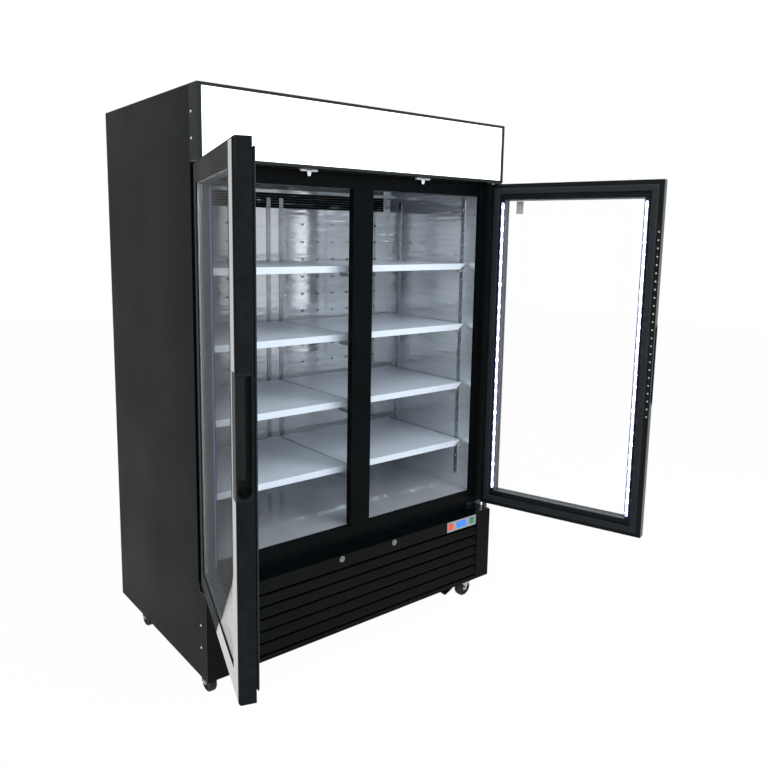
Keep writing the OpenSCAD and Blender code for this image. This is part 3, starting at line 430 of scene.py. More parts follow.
# Mill-finish aluminium
ALUMINIUM = Finish(
    "mill_aluminium", "#b8bcc0", "#a6abaf", 0.33, Grain.BRUSH, 1.0, 0.01,
    metallic=1.0, stretch=(1, 1, 40),
)
# White PBT of small fittings
WHITE_PBT = Finish("white_pbt", "#e4e7e8", "#d6dadb", 0.35, Grain.MOULD, 1.0, 0.02)
# Lit polycarbonate of the two rockers and of the window between them
RED_LENS = Finish(
    "red_polycarbonate", "#c3240c", "#a81c0a", 0.22, Grain.MOULD, 6.0, 0.02,
    glow=0.55, glow_colour="#ff4a1c",
)
GREEN_LENS = Finish(
    "green_polycarbonate", "#1d6a52", "#185a46", 0.22, Grain.MOULD, 6.0, 0.02,
    glow=0.12, glow_colour="#3aa884",
)
BLUE_LENS = Finish(
    "blue_polycarbonate", "#1a58c4", "#164ba8", 0.15, Grain.MOULD, 9.0, 0.02,
    glow=0.55, glow_colour="#2f83ff",
)
# Diode lenses: small bright domes
DIODE = Finish(
    "diode_lens", "#f5f7ff", "#eef2ff", 0.3, Grain.MOULD, 5.0, 0.01,
    glow=14.0, glow_colour="#f4f6ff",
)
# Frosted lens between the diodes: it glows violet-white
LENS_BAR = Finish(
    "frosted_lens", "#d9daf4", "#cfcff0", 0.35, Grain.MOULD, 8.0, 0.02,
    glow=1.5, glow_colour="#d3d2fa",
)
# Channel tray under the lens: its violet tone and faint glow paint the diodes' light falling on the
# tray
DIODE_LIT_CHANNEL = Finish(
    "channel_painted_diode_light", "#7b78b8", "#6f6cae", 0.4, Grain.MOULD, 8.0, 0.02,
    glow=0.05, glow_colour="#8f8ae0",
)
# Grey PVC of the studs
STUD_PVC = Finish("grey_pvc_stud", "#8d9698", "#838c8e", 0.32, Grain.MOULD, 20.0, 0.02)
# Dark grey PVC bead that lines the window
BEAD_PVC = Finish(
    "grey_pvc_bead", "#3a4145", "#32393d", 0.36, Grain.MOULD, 20.0, 0.02,
    specular=0.3,
)
# Nickel plating of the lock barrels: a dull silver
NICKEL = Finish("nickel_plate", "#8b8f91", "#7d8183", 0.34, Grain.BRUSH, 1.5, 0.01, metallic=1.0)
# Plain coated paper
PAPER = Finish("plain_paper_label", "#8f9494", "#858a8a", 0.6, Grain.SOFT, 6.0, 0.01)
# Baked enamel of the compressor and the coils
ENAMEL = Finish("black_enamel", "#0d0e0f", "#1a1c1d", 0.28, Grain.PEEL, 5.0, 0.05, specular=0.2)
GLASS = ClearGlass()


# ---------------------------------------------------------------- mesh tools


class Bench:
    """The shared tools that make, dress and hand over a piece."""

    flat_up_to = math.radians(0.4)
    rounded_from = math.radians(40.0)
    same_point = 2e-6

    def __init__(self, frame: dict[str, Any]) -> None:
        """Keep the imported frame.
        """
        self.frame = frame
        bodies = frame["record"]["behaviour"]["bodies"]
        self.body_of = {node: body for body, nodes in bodies.items() for node in nodes}
        subparts = frame["record"].get("subparts") or []
        self.slot_of = {part["node"]: part["material_slot"] for part in subparts}

    def dress(self, node: str, finish: Finish) -> None:
        """Give a CAD node a finish and keep its mesh.

        Args:
            node: The node's name.
            finish: What it is made of.
        """
        materials = self.frame["nodes"][node].data.materials
        materials.clear()
        materials.append(finish.build())

    def settle(self, piece: bpy.types.Object) -> None:
        """Turn a piece with modifiers into a plain mesh.

        Args:
            piece: The piece, at the origin.
        """
        bpy.context.view_layer.update()
        ready = piece.evaluated_get(bpy.context.evaluated_depsgraph_get())
        mesh = bpy.data.meshes.new_from_object(ready)
        old = piece.data
        piece.modifiers.clear()
        piece.data = mesh
        if old.users == 0:
            bpy.data.meshes.remove(old)

    def hand_over(
        self,
        piece: bpy.types.Object,
        finish: Finish | ClearGlass,
        body: str,
        replaces: Sequence[str] = (),
        smooth: float = 35.0,
    ) -> bpy.types.Object:
        """Dress a piece and let it ride on its body.

        Args:
            piece: The finished mesh.
            finish: What it is made of.
            body: The CAD body that carries it.
            replaces: The CAD nodes that it stands for.
            smooth: The angle in degrees up to which edges are shaded smooth.

        Returns:
            The same piece.
        """
        piece.data.materials.clear()
        piece.data.materials.append(finish.build())
        for face in piece.data.polygons:
            face.material_index = 0
            face.use_smooth = True
        piece.data.set_sharp_from_angle(angle=math.radians(smooth))
        even = piece.modifiers.new("even", "WEIGHTED_NORMAL")
        even.keep_sharp = True
        self.settle(piece)
        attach(piece, body)
        if replaces:
            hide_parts(*replaces)
        log.info("%s: %d faces on %s", piece.name, len(piece.data.polygons), body)
        return piece

    def carve(self, piece: bpy.types.Object, shape: bmesh.types.BMesh) -> None:
        """Cut a shape out of a piece.

        Args:
            piece: The piece, at the origin.
            shape: What is cut out.
        """
        face_out(shape)
        cutter = mesh_object("cutter", shape)
        step = piece.modifiers.new("cut", "BOOLEAN")
        step.operation = "DIFFERENCE"
        step.solver = "EXACT"
        step.object = cutter
        self.settle(piece)
        bpy.data.objects.remove(cutter)

    def soften(self, piece: bpy.types.Object, radius: float, steps: int = 2) -> None:
        """Round the sharp edges of a piece.

        Args:
            piece: The piece, at the origin.
            radius: The radius in metres.
            steps: The number of segments across each edge.
        """
        edge = piece.modifiers.new("edge", "BEVEL")
        edge.width = radius
        edge.segments = steps
        edge.limit_method = "ANGLE"
        edge.angle_limit = self.rounded_from
        edge.use_clamp_overlap = True
        edge.miter_outer = "MITER_ARC"
        self.settle(piece)

    def repeated(
        self, name: str, spots: Sequence[Vector], shape: bpy.types.Object
    ) -> bpy.types.Object:
        """Set a shape at many spots by Geometry Nodes and keep the plain mesh.

        Args:
            name: The new piece's name.
            spots: Where a copy goes.
            shape: The object that is copied. It is removed afterwards.

        Returns:
            The plain piece.
        """
        base = bmesh.new()
        for spot in spots:
            base.verts.new(spot)
        piece = mesh_object(name, base)
        tree = bpy.data.node_groups.new(f"{name}_repeat", "GeometryNodeTree")
        sockets = tree.interface
        sockets.new_socket("Geometry", in_out="INPUT", socket_type="NodeSocketGeometry")
        part = sockets.new_socket("Part", in_out="INPUT", socket_type="NodeSocketObject")
        sockets.new_socket("Geometry", in_out="OUTPUT", socket_type="NodeSocketGeometry")
        start = add_node(tree, "NodeGroupInput").outputs
        copied = add_node(tree, "GeometryNodeObjectInfo", {"Object": start["Part"]})
        inputs = {"Points": start["Geometry"], "Instance": copied.outputs["Geometry"]}
        dots = add_node(tree, "GeometryNodeInstanceOnPoints", inputs)
        real = add_node(tree, "GeometryNodeRealizeInstances", {"Geometry": dots.outputs[0]})
        add_node(tree, "NodeGroupOutput", {0: real.outputs[0]})
        step = piece.modifiers.new("repeat", "NODES")
        step.node_group = tree
        step[part.identifier] = shape
        self.settle(piece)
        bpy.data.objects.remove(shape)
        return piece

    def rounded(
        self, node: str, finish: Finish, radius_mm: float, steps: int = 2
    ) -> bpy.types.Object:
        """Replace a CAD node by a copy of it whose edges are rounded.

        Args:
            node: The node's name.
            finish: What it is made of.
            radius_mm: The radius of its edges.
            steps: The number of segments across each edge.

        Returns:
            The finished piece.
        """
        shape = bmesh.new()
        shape.from_mesh(self.frame["nodes"][node].data)
        bmesh.ops.remove_doubles(shape, verts=shape.verts, dist=self.same_point)
        bmesh.ops.dissolve_limit(
            shape, angle_limit=self.flat_up_to, verts=shape.verts, edges=shape.edges
        )
        piece = mesh_object(f"{node}_piece", shape)
        self.soften(piece, radius_mm * MM, steps)
        return self.hand_over(piece, finish, self.body_of[node], [node])


def block(shape: bmesh.types.BMesh, low: Point, high: Point) -> None:
    """Add a closed block to a mesh.

    Args:
        shape: The mesh.
        low: Its lowest corner.
        high: Its highest corner.
    """
    made = bmesh.ops.create_cube(shape, size=1.0)["verts"]
    mid = [(a + b) / 2 for a, b in zip(low, high)]
    for v in made:
        v.co = Vector([m + c * (b - a) for m, c, a, b in zip(mid, v.co, low, high)])


def polygon(steps: int, radius: float) -> list[Pair]:
    """The corners of a regular polygon.

    Args:
        steps: How many there are.
        radius: How far each is from the middle.

    Returns:
        The corners, against the clock.
    """
    turns = [2 * math.pi * i / steps for i in range(steps)]
    return [(radius * math.cos(turn), radius * math.sin(turn)) for turn in turns]


def join_rings(shape: bmesh.types.BMesh, rings: Sequence[list[bmesh.types.BMVert]]) -> None:
    """Skin rings of equally many vertices, each with the next.

    Args:
        shape: The mesh.
        rings: The rings.
    """
    for a, b in zip(rings, rings[1:]):
        for i in range(len(a)):
            j = (i + 1) % len(a)
            shape.faces.new((a[i], a[j], b[j], b[i]))


def sweep(
    shape: bmesh.types.BMesh,
    outline: Sequence[Pair],
    start: Vector,
    along: Vector,
    side: Vector,
    up: Vector,
) -> None:
    """Add a closed outline pushed along a straight line, with flat ends.

    Args:
        shape: The mesh.
        outline: Points of the outline, along side and up.
        start: Where the outline's zero lies at the near end.
        along: The push.
        side: The outline's first direction.
        up: The outline's second direction.
    """
    near = [shape.verts.new(start + side * a + up * b) for a, b in outline]
    far = [shape.verts.new(v.co + along) for v in near]
    join_rings(shape, [near, far])
    shape.faces.new(near[::-1])
    shape.faces.new(far)


def ring_sweep(
    shape: bmesh.types.BMesh, outline: Sequence[Pair], low: Pair, high: Pair, y: float
) -> None:
    """Add a closed outline swept round an upright rectangle, with mitred corners.

    Args:
        shape: The mesh.
        outline: Points as distance inwards from the rectangle and height in +Y.
        low: The rectangle's low corner in X and Z.
        high: The rectangle's high corner in X and Z.
        y: The height's zero.
    """
    loops = []
    for inward, height in outline:
        x0, z0, x1, z1 = low[0] + inward, low[1] + inward, high[0] - inward, high[1] - inward
        corners = ((x0, z0), (x1, z0), (x1, z1), (x0, z1))
        loops.append([shape.verts.new((x, y + height, z)) for x, z in corners])
    join_rings(shape, loops + loops[:1])


def face_out(shape: bmesh.types.BMesh) -> None:
    """Turn every closed shell of a mesh so that its faces point outwards.

    Args:
        shape: The mesh. Corners that lie on each other are joined first.
    """
    bmesh.ops.remove_doubles(shape, verts=shape.verts, dist=1e-7)
    bmesh.ops.recalc_face_normals(shape, faces=shape.faces)


# ---------------------------------------------------------------- cabinet


@dataclass
class Cabinet:
    """The outer sheets, the foam, the black front frame and the header."""

    bench: Bench
    screw_head: float = 0.0045
    screw_rise: float = 0.0022
    screw_dish: float = 0.35
    screw_sides: int = 24
    screw_profile: tuple[Pair, ...] = (
        (0.35, 0.97),
        (0.7, 0.8),
        (0.93, 0.45),
        (1.0, 0.12),
        (1.0, 0.0),
    )
    header_screws: tuple[float, float] = (0.084, 0.164)
    base_screws: tuple[float, float] = (0.110, 0.191)
    screw_y: float = 0.045

    def build(self) -> None:
        """Make every piece of the cabinet."""
        bench = self.bench
        bench.rounded("side_panels", BLACK_SHEET, 0.4)
        bench.rounded("back_and_top_panels", GALVANISED, 0.3)
        bench.dress("insulation", PU_FOAM)
        # The front frame's extrusion is painted near black, for the shade on its front faces
        bench.rounded("front_frame", SHADED_FRAME_PVC, 1.5, 3)
        # The header's coat is painted lighter than the side panels' coat, for the light that falls
        # on the header
        bench.rounded("header_shell", LIT_HEADER_SHEET, 0.7, 3)
        bench.rounded("sign_panel", OPAL_ACRYLIC, 0.5)
        bench.rounded("sign_lamps", WHITE_PBT, 0.8)
        bench.rounded("switch_housings", WHITE_PBT, 0.6)
        for side in ("left", "right"):
            bench.rounded(f"{side}_switch_lever", WHITE_PBT, 0.7, 3)
        self.screws()

    def screw_shape(self) -> bpy.types.Object:
        """Make one pan-head screw with a dished crown, its head towards +X.

        Returns:
            The object that is copied.
        """
        shape = bmesh.new()
        rings = []
        for reach, rise in self.screw_profile:
            corners = polygon(self.screw_sides, reach * self.screw_head)
            rings.append([shape.verts.new((rise * self.screw_rise, y, z)) for y, z in corners])
        join_rings(shape, rings)
        shape.faces.new(rings[-1])
        centre = shape.verts.new((self.screw_dish * self.screw_rise, 0, 0))
        crown = rings[0]
        for i in range(len(crown)):
            shape.faces.new((crown[(i + 1) % len(crown)], crown[i], centre))
        face_out(shape)
        return mesh_object("screw_shape", shape)

    def screws(self) -> None:
        """Set the eight side screws."""
        x = PLAN.half_w
        y = self.screw_y + PLAN.shift
        heights = [PLAN.cab_h - d for d in self.header_screws]
        heights += [PLAN.base_z + d for d in self.base_screws]
        spots = [Vector((x, y, z)) for z in heights]
        right = self.bench.repeated("right_side_screws", spots, self.screw_shape())
        self.bench.hand_over(right, CHROME, "cabinet", ["side_screws"], smooth=50)
        mirrored = right.data.copy()
        mirrored.transform(Matrix.Diagonal((-1, 1, 1, 1)))
        mirrored.flip_normals()
        left = add_object("left_side_screws", mirrored)
        self.bench.hand_over(left, CHROME, "cabinet", smooth=50)


@dataclass
class Interior:
    """The bright liner, its air duct, the posts, the clips and the shelves."""

    bench: Bench
    shelf_x0: float = 0.007
    shelf_x1: float = 0.633
    shelf_y: float = 0.140
    shelf_d: float = 0.510
    lip: float = 0.025
    sheet: float = 0.0015
    corner: float = 0.036
    corner_reach: float = 3.0
    edge: float = 0.0006
    count: int = 4

    def build(self) -> None:
        """Make every piece of the interior."""
        bench = self.bench
        bench.dress("liner", MIRROR_STEEL)
        bench.dress("air_duct_panels", MIRROR_STEEL)
        bench.rounded("air_grille", BLACK_ABS, 0.3)
        bench.rounded("shelf_posts", BRUSHED_STEEL, 0.3, 1)
        bench.rounded("shelf_clips", ZINC_PLATE, 0.8)
        bench.rounded("evaporator_motor", GALVANISED, 1.0)
        bench.dress("evaporator_fan", BLACK_ABS)
        bench.dress("evaporator_coil", ALUMINIUM)
        for side, name in ((-1, "left"), (1, "right")):
            self.shelves(side, name)

    def shelves(self, side: int, name: str) -> None:
        """Make the shelves of one side: trays that are open below.

        Args:
            side: 1 for the right, -1 for the left.
            name: The side's name.
        """
        decks, hollows, corners = bmesh.new(), bmesh.new(), bmesh.new()
        t = self.sheet
        xs = sorted((side * self.shelf_x0, side * self.shelf_x1))
        y0 = self.shelf_y + PLAN.shift
        y1 = y0 + self.shelf_d
        for i in range(self.count):
            top = PLAN.shelf_z + i * PLAN.shelf_pitch
            low = top - self.lip
            block(decks, (xs[0], y0, low), (xs[1], y1, top))
            block(hollows, (xs[0] + t, y0 + t, low - t), (xs[1] - t, y1 - t, top - t))
            self.slant(corners, side, y0, low, top - 2 * t)
        piece = mesh_object(f"{name}_shelf_decks", decks)
        self.bench.carve(piece, hollows)
        self.bench.carve(piece, corners)
        self.bench.soften(piece, self.edge)
        self.bench.hand_over(piece, WHITE_EPOXY, "cabinet", ["shelves"])

    def slant(self, shape: bmesh.types.BMesh, side: int, y: float, low: float, high: float) -> None:
        """Add the wedge that takes the outer front corner off a shelf's lip.

        Args:
            shape: The mesh.
            side: 1 for the right, -1 for the left.
            y: The front of the shelf.
            low: The lower edge of the lip.
            high: Where the cut ends on the shelf's corner.
        """
        x, corner = self.shelf_x1, self.corner
        cut = [
            Vector((side * (x - corner), y, low)),
            Vector((side * x, y + corner, low)),
            Vector((side * x, y, high)),
        ]
        middle = sum(cut, Vector()) / len(cut)
        points = [middle + self.corner_reach * (point - middle) for point in cut]
        points.append(middle + self.corner_reach * Vector((side * corner, -corner, -corner)))
        verts = [shape.verts.new(point) for point in points]
        for left_out in verts:
            shape.faces.new([vert for vert in verts if vert is not left_out])


# The rolled lower edge of a slat: depth, and height above the slat's low end
SLAT_ROLL = (
    (0.0004, 0.0012),
    (0.0000, 0.0004),
    (0.0006, -0.0006),
    (0.0020, -0.0010),
    (0.0046, -0.0006),
    (0.0046, 0.0002),
    (0.0026, 0.0004),
    (0.0022, 0.0012),
)
# Its upper edge: depth and height from the slat's far top corner
SLAT_TOP = ((0.0, -0.0004), (-0.0004, 0.0), (-0.0018, 0.0))


@dataclass
class Base:
    """The louvred panel, the deck, the controls, the locks and the hinges."""

    bench: Bench
    plate: float = 0.0015
    column: float = 0.078
    first: float = 0.018
    pitch: float = 0.046
    count: int = 5
    slat_d: float = 0.014
    slat_gap: float = 0.009
    slat_drop: float = 0.007
    lock_x: float = 0.130
    lock_z: float = 0.392
    lock_r: float = 0.0101
    control_x: float = 0.512
    control_z: float = 0.380
    control_holes: tuple[Point, ...] = (
        (-0.063, 0.030, 0.032),
        (0.0, 0.053, 0.025),
        (0.063, 0.030, 0.032),
    )
    past: float = 0.01
    side_play: float = 0.001
    slat_play: float = 0.0002
    panel_edge: float = 0.0005
    cheek_edge: float = 0.0004

    def build(self) -> None:
        """Make every piece of the base."""
        bench = self.bench
        # The base front's extrusion is painted near black, for the shade on its front face
        bench.rounded("base_front", SHADED_FRAME_PVC, 0.4)
        bench.rounded("base_pan", BASE_SHEET, 0.3)
        self.louvred_panel()
        bench.rounded("control_plate", BRUSHED_STEEL, 0.6)
        bench.rounded("power_rocker", RED_LENS, 1.2, 3)
        bench.rounded("lamp_rocker", GREEN_LENS, 1.2, 3)
        bench.rounded("temperature_display", BLUE_LENS, 1.0, 3)
        bench.rounded("lock_barrels", NICKEL, 0.7, 3)
        for side in ("left", "right"):
            bench.rounded(f"{side}_lock_cam", NICKEL, 0.5)
        # The brackets' dark colour is painted shade
        bench.rounded("hinge_brackets", SHADED_BRACKET_METAL, 0.6)

    def louvred_panel(self) -> None:
        """Make the sheet with its holes and set the slats in it."""
        bench = self.bench
        y0, y1 = PLAN.shift, PLAN.shift + self.plate
        near, far = y0 - self.past, y1 + self.past
        half = PLAN.half_w - self.side_play
        z1 = PLAN.base_top - self.plate
        low = PLAN.base_z + self.first
        high = low + self.count * self.pitch
        side = PLAN.half_w - self.column
        sheet = bmesh.new()
        block(sheet, (-half, y0, PLAN.base_z), (half, y1, z1))
        piece = mesh_object("louvred_panel", sheet)
        holes = bmesh.new()
        block(holes, (-side, near, low), (side, far, high + self.slat_gap))
        for dx, w, h in self.control_holes:
            x, z = self.control_x + dx, self.control_z
            block(holes, (x - w / 2, near, z - h / 2), (x + w / 2, far, z + h / 2))
        for x in (-self.lock_x, self.lock_x):
            r = self.lock_r
            ring = bmesh.ops.create_cone(
                holes, cap_ends=True, segments=32, radius1=r, radius2=r, depth=2 * self.past
            )["verts"]
            turn = Matrix.Translation((x, y0, self.lock_z)) @ Matrix.Rotation(math.pi / 2, 4, "X")
            bmesh.ops.transform(holes, matrix=turn, verts=ring)
        bench.carve(piece, holes)
        bench.soften(piece, self.panel_edge)
        bench.hand_over(piece, BASE_SHEET, "cabinet", ["lower_panel"])
        spots = [Vector((0, y0, low + i * self.pitch)) for i in range(self.count)]
        slats = bench.repeated("louvre_slats", spots, self.slat(side))
        bench.hand_over(slats, BASE_SHEET, "cabinet")
        cheeks = bmesh.new()
        for x in (-side - self.plate, side):
            block(cheeks, (x, y1, low), (x + self.plate, y0 + self.slat_d, high))
        ends = mesh_object("louvre_cheeks", cheeks)
        bench.soften(ends, self.cheek_edge)
        bench.hand_over(ends, BASE_SHEET, "cabinet")

    def slat(self, half: float) -> bpy.types.Object:
        """Make one slat: it leans back from a rolled lower edge.

        Args:
            half: Half its length.

        Returns:
            The object that is copied.
        """
        shape = bmesh.new()
        low, top, deep = self.slat_gap, self.pitch - self.slat_drop, self.slat_d
        section = [(y, low + z) for y, z in SLAT_ROLL]
        section += [(deep + y, top + z) for y, z in SLAT_TOP]
        play = self.slat_play
        sweep(shape, section, (play - half) * ACROSS, 2 * (half - play) * ACROSS, BACK, UP)
        face_out(shape)
        return mesh_object("slat_shape", shape)


@dataclass
class MachineBay:
    """The compressor, the condenser and what stands beside them."""

    bench: Bench

    def build(self) -> None:
        """Make every piece of the machine bay."""
        bench = self.bench
        bench.rounded("compressor", ENAMEL, 3.0, 3)
        bench.dress("condenser_coil", ENAMEL)
        bench.dress("condenser_fan", BLACK_ABS)
        bench.rounded("fan_shroud", ENAMEL, 0.5)
        bench.rounded("drain_pan", GALVANISED, 0.5)
        bench.rounded("rear_grille", BLACK_SHEET, 0.4)
        bench.rounded("power_inlet", BLACK_ABS, 0.4)


# ---------------------------------------------------------------- doors


# The bellows seal's outline, as shares of its width and thickness
SEAL_SECTION = (
    (0.0, 0.0),
    (1.0, 0.0),
    (1.0, 0.10),
    (0.86, 0.20),
    (0.80, 0.34),
    (0.90, 0.48),
    (0.97, 0.62),
    (0.95, 0.86),
    (0.88, 1.0),
    (0.16, 1.0),
    (0.07, 0.86),
    (0.05, 0.62),
    (0.14, 0.48),
    (0.20, 0.34),
    (0.10, 0.20),
    (0.0, 0.10),
)
# The rings of a dome, as shares of its radius
DOME_RINGS = (1.0, 0.9, 0.68, 0.36)


@dataclass
class Door:
    """One glass door, built closed on the right and then turned open.

    The rim, bed, seat and rise of its lights are shares of the strips' thickness.
    """

    bench: Bench
    side: int
    name: str
    glass_lap: float = 0.0117
    glass_y: float = 0.003
    pane_t: float = 0.004
    pane_gap: float = 0.005
    pane_edge: float = 0.0006
    spacer_inset: float = 0.003
    spacer_shows: float = 0.004
    spacer_play: float = 0.0002
    bead_play: float = 0.0005
    bead_past: float = 0.001
    label_w: float = 0.0305
    label_h: float = 0.051
    label_t: float = 0.0003
    label_corner: float = 0.003
    label_side: float = 0.038
    label_top: float = 0.006
    label_steps: int = 5
    gasket_inset: float = 0.018
    gasket_w: float = 0.025
    gasket_t: float = 0.0117
    strip_w: float = 0.012
    strip_t: float = 0.005
    strip_inset: float = 0.0015
    strip_end: float = 0.010
    strip_wall: float = 0.0012
    strip_lip: float = 0.0008
    strip_rim: float = 0.95
    strip_bed: float = 0.2
    lens_seat: float = 0.21
    lens_rise: float = 0.35
    lens_side: float = 0.0013
    lens_end: float = 0.004
    lens_steps: int = 8
    diode_pitch: float = 0.046
    diode_end: float = 0.015
    diode_r: float = 0.0046
    diode_long: float = 3.4
    diode_seat: float = 0.30
    diode_rise: float = 0.60
    diode_sides: int = 16
    stud_x: float = 0.0095
    stud_rise: float = 0.0012
    stud_sides: int = 14
    stud_top: float = 1.633
    stud_pitch: float = 0.0306
    stud_count: int = 24
    stud_r: float = 0.0034
    faces_out: float = 0.97
    matrix: Matrix = field(init=False)

    def __post_init__(self) -> None:
        """Work out the door's move."""
        self.matrix = PLAN.door_matrix(self.side)

    @property
    def body(self) -> str:
        """The CAD body that carries the door."""
        return f"{self.name}_door"

    def build(self) -> None:
        """Make every piece of the door."""
        bench = self.bench
        frame = bench.rounded(f"{self.name}_door_frame", BLACK_PVC, 1.2, 3)
        outward = (self.matrix.to_3x3() @ Vector((0, -1, 0))).normalized()
        frame.data.materials.append(PRINTED_GLASS.build())
        for face in frame.data.polygons:
            if face.normal.dot(outward) > self.faces_out:
                face.material_index = 1
        bench.rounded(f"{self.name}_door_handle", BLACK_ABS, 2.5, 4)
        self.bead()
        self.panes()
        self.gasket()
        self.light_strips()
        self.studs()
        self.label()

    @property
    def glass_back(self) -> float:
        """The depth of the inner pane's inner face."""
        return self.glass_y + 2 * self.pane_t + self.pane_gap

    def place(
        self,
        part: str,
        shape: bmesh.types.BMesh,
        finish: Finish | ClearGlass,
        replaces: Sequence[str] = (),
        bevel: float = 0.0,
    ) -> None:
        """Turn a mesh open with the door and hand it over.

        Args:
            part: The piece's name on this door.
            shape: Its mesh, closed on the right.
            finish: What it is made of.
            replaces: The CAD nodes that it stands for.
            bevel: The radius of its edges.
        """
        shape.transform(self.matrix)
        face_out(shape)
        piece = mesh_object(f"{self.name}_door_{part}", shape)
        if bevel:
            self.bench.soften(piece, bevel)
        self.bench.hand_over(piece, finish, self.body, replaces)

    def window(self, grow: float) -> tuple[float, float, float, float]:
        """The glass opening's low and high X and Z.

        Args:
            grow: How far the rectangle goes past the opening on every side.

        Returns:
            Low X, high X, low Z and high Z.
        """
        rail = PLAN.rail - grow
        return (
            PLAN.door_x0 + rail,
            PLAN.door_x1 - rail,
            PLAN.door_z0 + rail,
            PLAN.door_z1 - rail,
        )

    def panes(self) -> None:
        """Make the two panes and the spacer bar between them."""
        x0, x1, z0, z1 = self.window(self.glass_lap)
        y = self.glass_y
        outer, inner = bmesh.new(), bmesh.new()
        block(outer, (x0, y, z0), (x1, y + self.pane_t, z1))
        back = y + self.pane_t + self.pane_gap
        block(inner, (x0, back, z0), (x1, back + self.pane_t, z1))
        self.place("outer_pane", outer, GLASS, [f"{self.name}_door_glass"], self.pane_edge)
        self.place("inner_pane", inner, GLASS, (), self.pane_edge)
        spacer = bmesh.new()
        near, far = self.spacer_inset, self.glass_lap + self.spacer_shows
        low, high = self.spacer_play, self.pane_gap - self.spacer_play
        outline = [(near, low), (far, low), (far, high), (near, high)]
        ring_sweep(spacer, outline, (x0, z0), (x1, z1), y + self.pane_t)
        self.place("spacer", spacer, ALUMINIUM)

    def bead(self) -> None:
        """Line the window with a dark bead from the glass to the inner face."""
        x0, x1, z0, z1 = self.window(0)
        near, far = self.glass_back + self.bead_play, PLAN.door_t + self.bead_past
        shape = bmesh.new()
        # Distance inwards from the opening and depth: a foot on the glass, a web, a hooked rim
        outline = [(0.0003, near), (0.003, near), (0.003, near + 0.0015), (0.0018, near + 0.006)]
        outline += [(0.0018, far), (-0.0004, far), (-0.0004, far - 0.0008), (0.0003, far - 0.0008)]
        ring_sweep(shape, outline, (x0, z0), (x1, z1), 0.0)
        self.place("window_bead", shape, BEAD_PVC)

    def label(self) -> None:
        """Stick a plain blank label on the inner pane."""
        x1, z1 = self.window(0)[1], self.window(0)[3]
        w, h, corner, steps = self.label_w, self.label_h, self.label_corner, self.label_steps
        right, top = w - corner, h - corner
        outline = []
        middles = ((right, top), (corner, top), (corner, corner), (right, corner))
        for i, (cx, cz) in enumerate(middles):
            for j in range(steps):
                turn = math.pi / 2 * (i + j / (steps - 1))
                outline.append((cx + corner * math.cos(turn), cz + corner * math.sin(turn)))
        start = Vector((x1 - self.label_side - w, self.glass_back, z1 - self.label_top - h))
        shape = bmesh.new()
        sweep(shape, outline, start, self.label_t * BACK, ACROSS, UP)
        self.place("blank_label", shape, PAPER)

    def studs(self) -> None:
        """Set a row of small studs down the free edge, outside the seal."""
        x = PLAN.door_x0 + self.stud_x
        heights = [self.stud_top - i * self.stud_pitch for i in range(self.stud_count)]
        spots = [Vector((x, PLAN.door_t, z)) for z in heights]
        shape = self.dome(self.stud_r, self.stud_rise, self.stud_sides, "stud_shape")
        self.repeat("studs", STUD_PVC, spots, shape)

    def repeat(
        self, part: str, finish: Finish, spots: Sequence[Vector], shape: bpy.types.Object
    ) -> None:
        """Set copies of a shape on the door and turn them open with it.

        Args:
            part: The piece's name on this door.
            finish: What it is made of.
            spots: Where a copy goes, closed on the right.
            shape: The object that is copied.
        """
        piece = self.bench.repeated(f"{self.name}_door_{part}", spots, shape)
        piece.data.transform(self.matrix)
        if self.side < 0:
            piece.data.flip_normals()
        self.bench.hand_over(piece, finish, self.body, smooth=60)

    def gasket(self) -> None:
        """Make the bellows seal with its magnet tube."""
        outline = [(a * self.gasket_w, b * self.gasket_t) for a, b in SEAL_SECTION]
        inset = self.gasket_inset
        low = (PLAN.door_x0 + inset, PLAN.door_z0 + inset)
        high = (PLAN.door_x1 - inset, PLAN.door_z1 - inset)
        shape = bmesh.new()
        ring_sweep(shape, outline, low, high, PLAN.door_t)
        self.place("seal", shape, SEAL_PVC, [f"{self.name}_door_gasket"])

    def light_strips(self) -> None:
        """Make the two light channels with their lens bars and rows of diodes."""
        x0, x1, z0, z1 = self.window(0)
        z0, z1 = z0 + self.strip_end, z1 - self.strip_end
        y, w, t = PLAN.door_t, self.strip_w, self.strip_t
        starts = (x0 - self.strip_inset - w, x1 + self.strip_inset)
        channel, lens = bmesh.new(), bmesh.new()
        rim, bed = self.strip_rim * t, self.strip_bed * t
        tray = [(0, 0), (w, 0), (w, rim), (w - self.strip_lip, rim), (w - self.strip_wall, bed)]
        tray += [(self.strip_wall, bed), (self.strip_lip, rim), (0, rim)]
        side, seat, rise = self.lens_side, self.lens_seat * t, self.lens_rise * t
        bar = [(side, seat)]
        for i in range(self.lens_steps + 1):
            turn = math.pi * (1 - i / self.lens_steps)
            bar.append((w / 2 + (w / 2 - side) * math.cos(turn), rise + rise * math.sin(turn)))
        bar.append((w - side, seat))
        tall, end = z1 - z0, self.lens_end
        for x in starts:
            sweep(channel, tray, Vector((x, y, z0)), tall * UP, ACROSS, BACK)
            sweep(lens, bar, Vector((x, y, z0 + end)), (tall - 2 * end) * UP, ACROSS, BACK)
        # The channels' violet tone and faint glow are painted light from the diodes
        self.place("light_channels", channel, DIODE_LIT_CHANNEL, [f"{self.name}_door_lights"])
        self.place("lens_bars", lens, LENS_BAR)
        count = int((tall - 2 * self.diode_end) / self.diode_pitch)
        first = (z0 + z1) / 2 - count * self.diode_pitch / 2
        heights = [first + i * self.diode_pitch for i in range(count + 1)]
        depth, rise = y + self.diode_seat * t, self.diode_rise * t
        spots = [Vector((x + w / 2, depth, z)) for x in starts for z in heights]
        shape = self.dome(self.diode_r, rise, self.diode_sides, "diode_shape", self.diode_long)
        self.repeat("diodes", DIODE, spots, shape)

